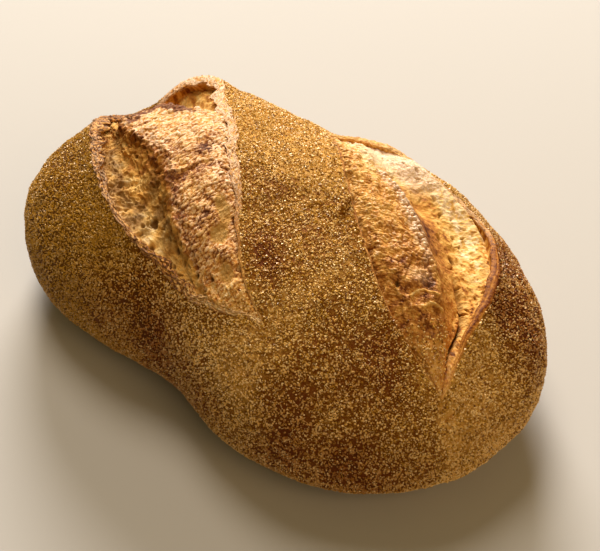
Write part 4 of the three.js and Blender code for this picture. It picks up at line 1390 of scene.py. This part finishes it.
class LoafSettings(bpy.types.PropertyGroup):
    sizes: PointerProperty(type=LoafSizes)
    surface: PointerProperty(type=SurfaceLook)
    colours: PointerProperty(type=BreadColours)


# Operators

def make_for_both_cuts(kind, mesh_of, steps, material, settings):
    """The left and the right piece of a kind."""
    form = LoafForm(settings.sizes)
    for cut in (LEFT_CUT, RIGHT_CUT):
        points, faces, masks = mesh_of(form, cut, *steps)
        declare(new_piece(f"{cut['name']}_{kind}", points, faces, material, masks))


class LOAF_OT_crust(bpy.types.Operator):
    """Make the baked crust with room for the cuts"""
    bl_idname = "loaf.crust"
    bl_label = "Crust"

    def execute(self, context):
        settings = context.scene.corn_rye_loaf
        form = LoafForm(settings.sizes)
        points, faces, masks = crust_mesh(form, settings.surface)
        declare(new_piece("crust", points, faces, crust_material(settings.colours), masks))
        return {"FINISHED"}


class LOAF_OT_crumb(bpy.types.Operator):
    """Make the torn crumb and skin inside both cuts"""
    bl_idname = "loaf.crumb"
    bl_label = "Torn crumb"

    def execute(self, context):
        settings = context.scene.corn_rye_loaf
        make_for_both_cuts("crumb", bloom_mesh, CRUMB_STEPS, crumb_material(settings.colours), settings)
        return {"FINISHED"}


class LOAF_OT_lips(bpy.types.Operator):
    """Make the lifted lips round both cuts"""
    bl_idname = "loaf.lips"
    bl_label = "Lips"

    def execute(self, context):
        settings = context.scene.corn_rye_loaf
        make_for_both_cuts("lip", lip_mesh, LIP_STEPS, lip_material(settings.colours), settings)
        return {"FINISHED"}


class LOAF_OT_meal(bpy.types.Operator):
    """Scatter the corn meal over the crust"""
    bl_idname = "loaf.meal"
    bl_label = "Corn meal"

    def execute(self, context):
        settings = context.scene.corn_rye_loaf
        surface, colours = settings.surface, settings.colours
        carrier = meal_carrier()
        tree = meal_tree()
        small, large = surface.grain_smallest, surface.grain_largest
        kinds = (("meal_coarse", 0.75 * large, large, colours.meal_cream, colours.meal_yellow),
                 ("meal_golden", small, 0.85 * large, colours.meal_yellow, colours.meal_gold),
                 ("meal_pale", small, 0.85 * large, colours.meal_cream, colours.meal_yellow),
                 ("meal_fine", 0.8 * small, 1.3 * small, colours.meal_cream, colours.meal_gold),
                 ("meal_toasted", small, 0.8 * large, colours.meal_gold, colours.crust_brown))
        for number, (name, smallest, largest, pale, deep) in enumerate(kinds):
            values = {"Spacing": surface.grain_spacing, "From": number / len(kinds),
                      "To": (number + 1) / len(kinds), "Smallest": smallest, "Largest": largest,
                      "Seed": surface.seed, "Material": meal_material(name, pale, deep, colours)}
            declare(scatter_meal(tree, carrier, name, values))
        bpy.data.objects.remove(carrier)
        return {"FINISHED"}


class LOAF_OT_stage(bpy.types.Operator):
    """Set up the floor, the soft lights and the camera"""
    bl_idname = "loaf.stage"
    bl_label = "Stage"

    def execute(self, context):
        make_floor()
        target = Vector((CENTRE_SHIFT[0] + VIEW_TARGET[0], CENTRE_SHIFT[1] + VIEW_TARGET[1],
                         VIEW_TARGET[2])) * MM
        make_light("window", target, azimuth=-134, elevation=26, distance=2.6, size=1.2, power=140,
                   tint=(1.0, 0.93, 0.83))
        make_light("skylight", target, azimuth=-120, elevation=64, distance=2.2, size=0.9, power=24,
                   tint=(1.0, 0.88, 0.70))
        make_light("fill", target, azimuth=80, elevation=42, distance=2.2, size=1.6, power=13,
                   tint=(1.0, 0.69, 0.36))
        context.scene.view_settings.view_transform = "Standard"
        world = bpy.data.worlds.new("room")
        context.scene.world = world
        world.use_nodes = True
        backdrop = world.node_tree.nodes["Background"]
        backdrop.inputs["Color"].default_value = (1.0, 0.77, 0.34, 1)
        backdrop.inputs["Strength"].default_value = 0.15
        make_camera(target)
        return {"FINISHED"}


def make_floor():
    """A wide plain floor just under the loaf, which is only for the picture."""
    mesh = bpy.data.meshes.new("floor")
    corners = [(side * FLOOR_HALF, end * FLOOR_HALF, -FLOOR_DROP)
               for side, end in ((-1, -1), (1, -1), (1, 1), (-1, 1))]
    mesh.from_pydata(corners, [], [(0, 1, 2, 3)])
    look = Look("pale_floor")
    mesh.materials.append(look.finish((0.50, 0.49, 0.49), 0.95, None, 0.05))
    new_object("floor", mesh)


def aim(thing, target):
    direction = Vector(target) - thing.location
    thing.rotation_euler = direction.to_track_quat("-Z", "Y").to_euler()


def around(target, azimuth, elevation, distance):
    """Place seen from the target: azimuth 0 is in front, towards -Y, and 90 is at +X."""
    turn, lift = math.radians(azimuth), math.radians(elevation)
    return Vector(target) + distance * Vector((math.sin(turn) * math.cos(lift),
                                               -math.cos(turn) * math.cos(lift), math.sin(lift)))


def make_light(name, target, azimuth, elevation, distance, size, power, tint):
    lamp = bpy.data.lights.new(name, "AREA")
    lamp.shape = "DISK"
    lamp.size = size
    lamp.energy = power
    lamp.color = tint
    light = new_object(name, lamp)
    light.location = around(target, azimuth, elevation, distance)
    aim(light, target)


def make_camera(target):
    lens = bpy.data.cameras.new("camera")
    lens.sensor_width = SENSOR_WIDTH
    lens.lens = LENS
    camera = new_object("camera", lens)
    camera.location = around(target, VIEW_AZIMUTH, VIEW_ELEVATION, VIEW_DISTANCE)
    aim(camera, target)
    bpy.context.scene.camera = camera


class LOAF_PT_panel(bpy.types.Panel):
    bl_label = "Corn Rye Loaf"
    bl_space_type = "VIEW_3D"
    bl_region_type = "UI"
    bl_category = "Loaf"

    def draw(self, context):
        settings = context.scene.corn_rye_loaf
        for group in (settings.sizes, settings.surface, settings.colours):
            box = self.layout.box()
            for name in group.__annotations__:
                box.prop(group, name)
        for operator in OPERATORS:
            self.layout.operator(operator.bl_idname)


OPERATORS = (LOAF_OT_crust, LOAF_OT_crumb, LOAF_OT_lips, LOAF_OT_meal, LOAF_OT_stage)
CLASSES = (LoafSizes, SurfaceLook, BreadColours, LoafSettings, *OPERATORS, LOAF_PT_panel)


def register():
    for item in CLASSES:
        bpy.utils.register_class(item)
    bpy.types.Scene.corn_rye_loaf = PointerProperty(type=LoafSettings)


def unregister():
    del bpy.types.Scene.corn_rye_loaf
    for item in reversed(CLASSES):
        bpy.utils.unregister_class(item)


def main():
    register()
    bpy.ops.loaf.crust()
    bpy.ops.loaf.crumb()
    bpy.ops.loaf.lips()
    bpy.ops.loaf.meal()
    bpy.ops.loaf.stage()


if __name__ == "__main__":
    main()
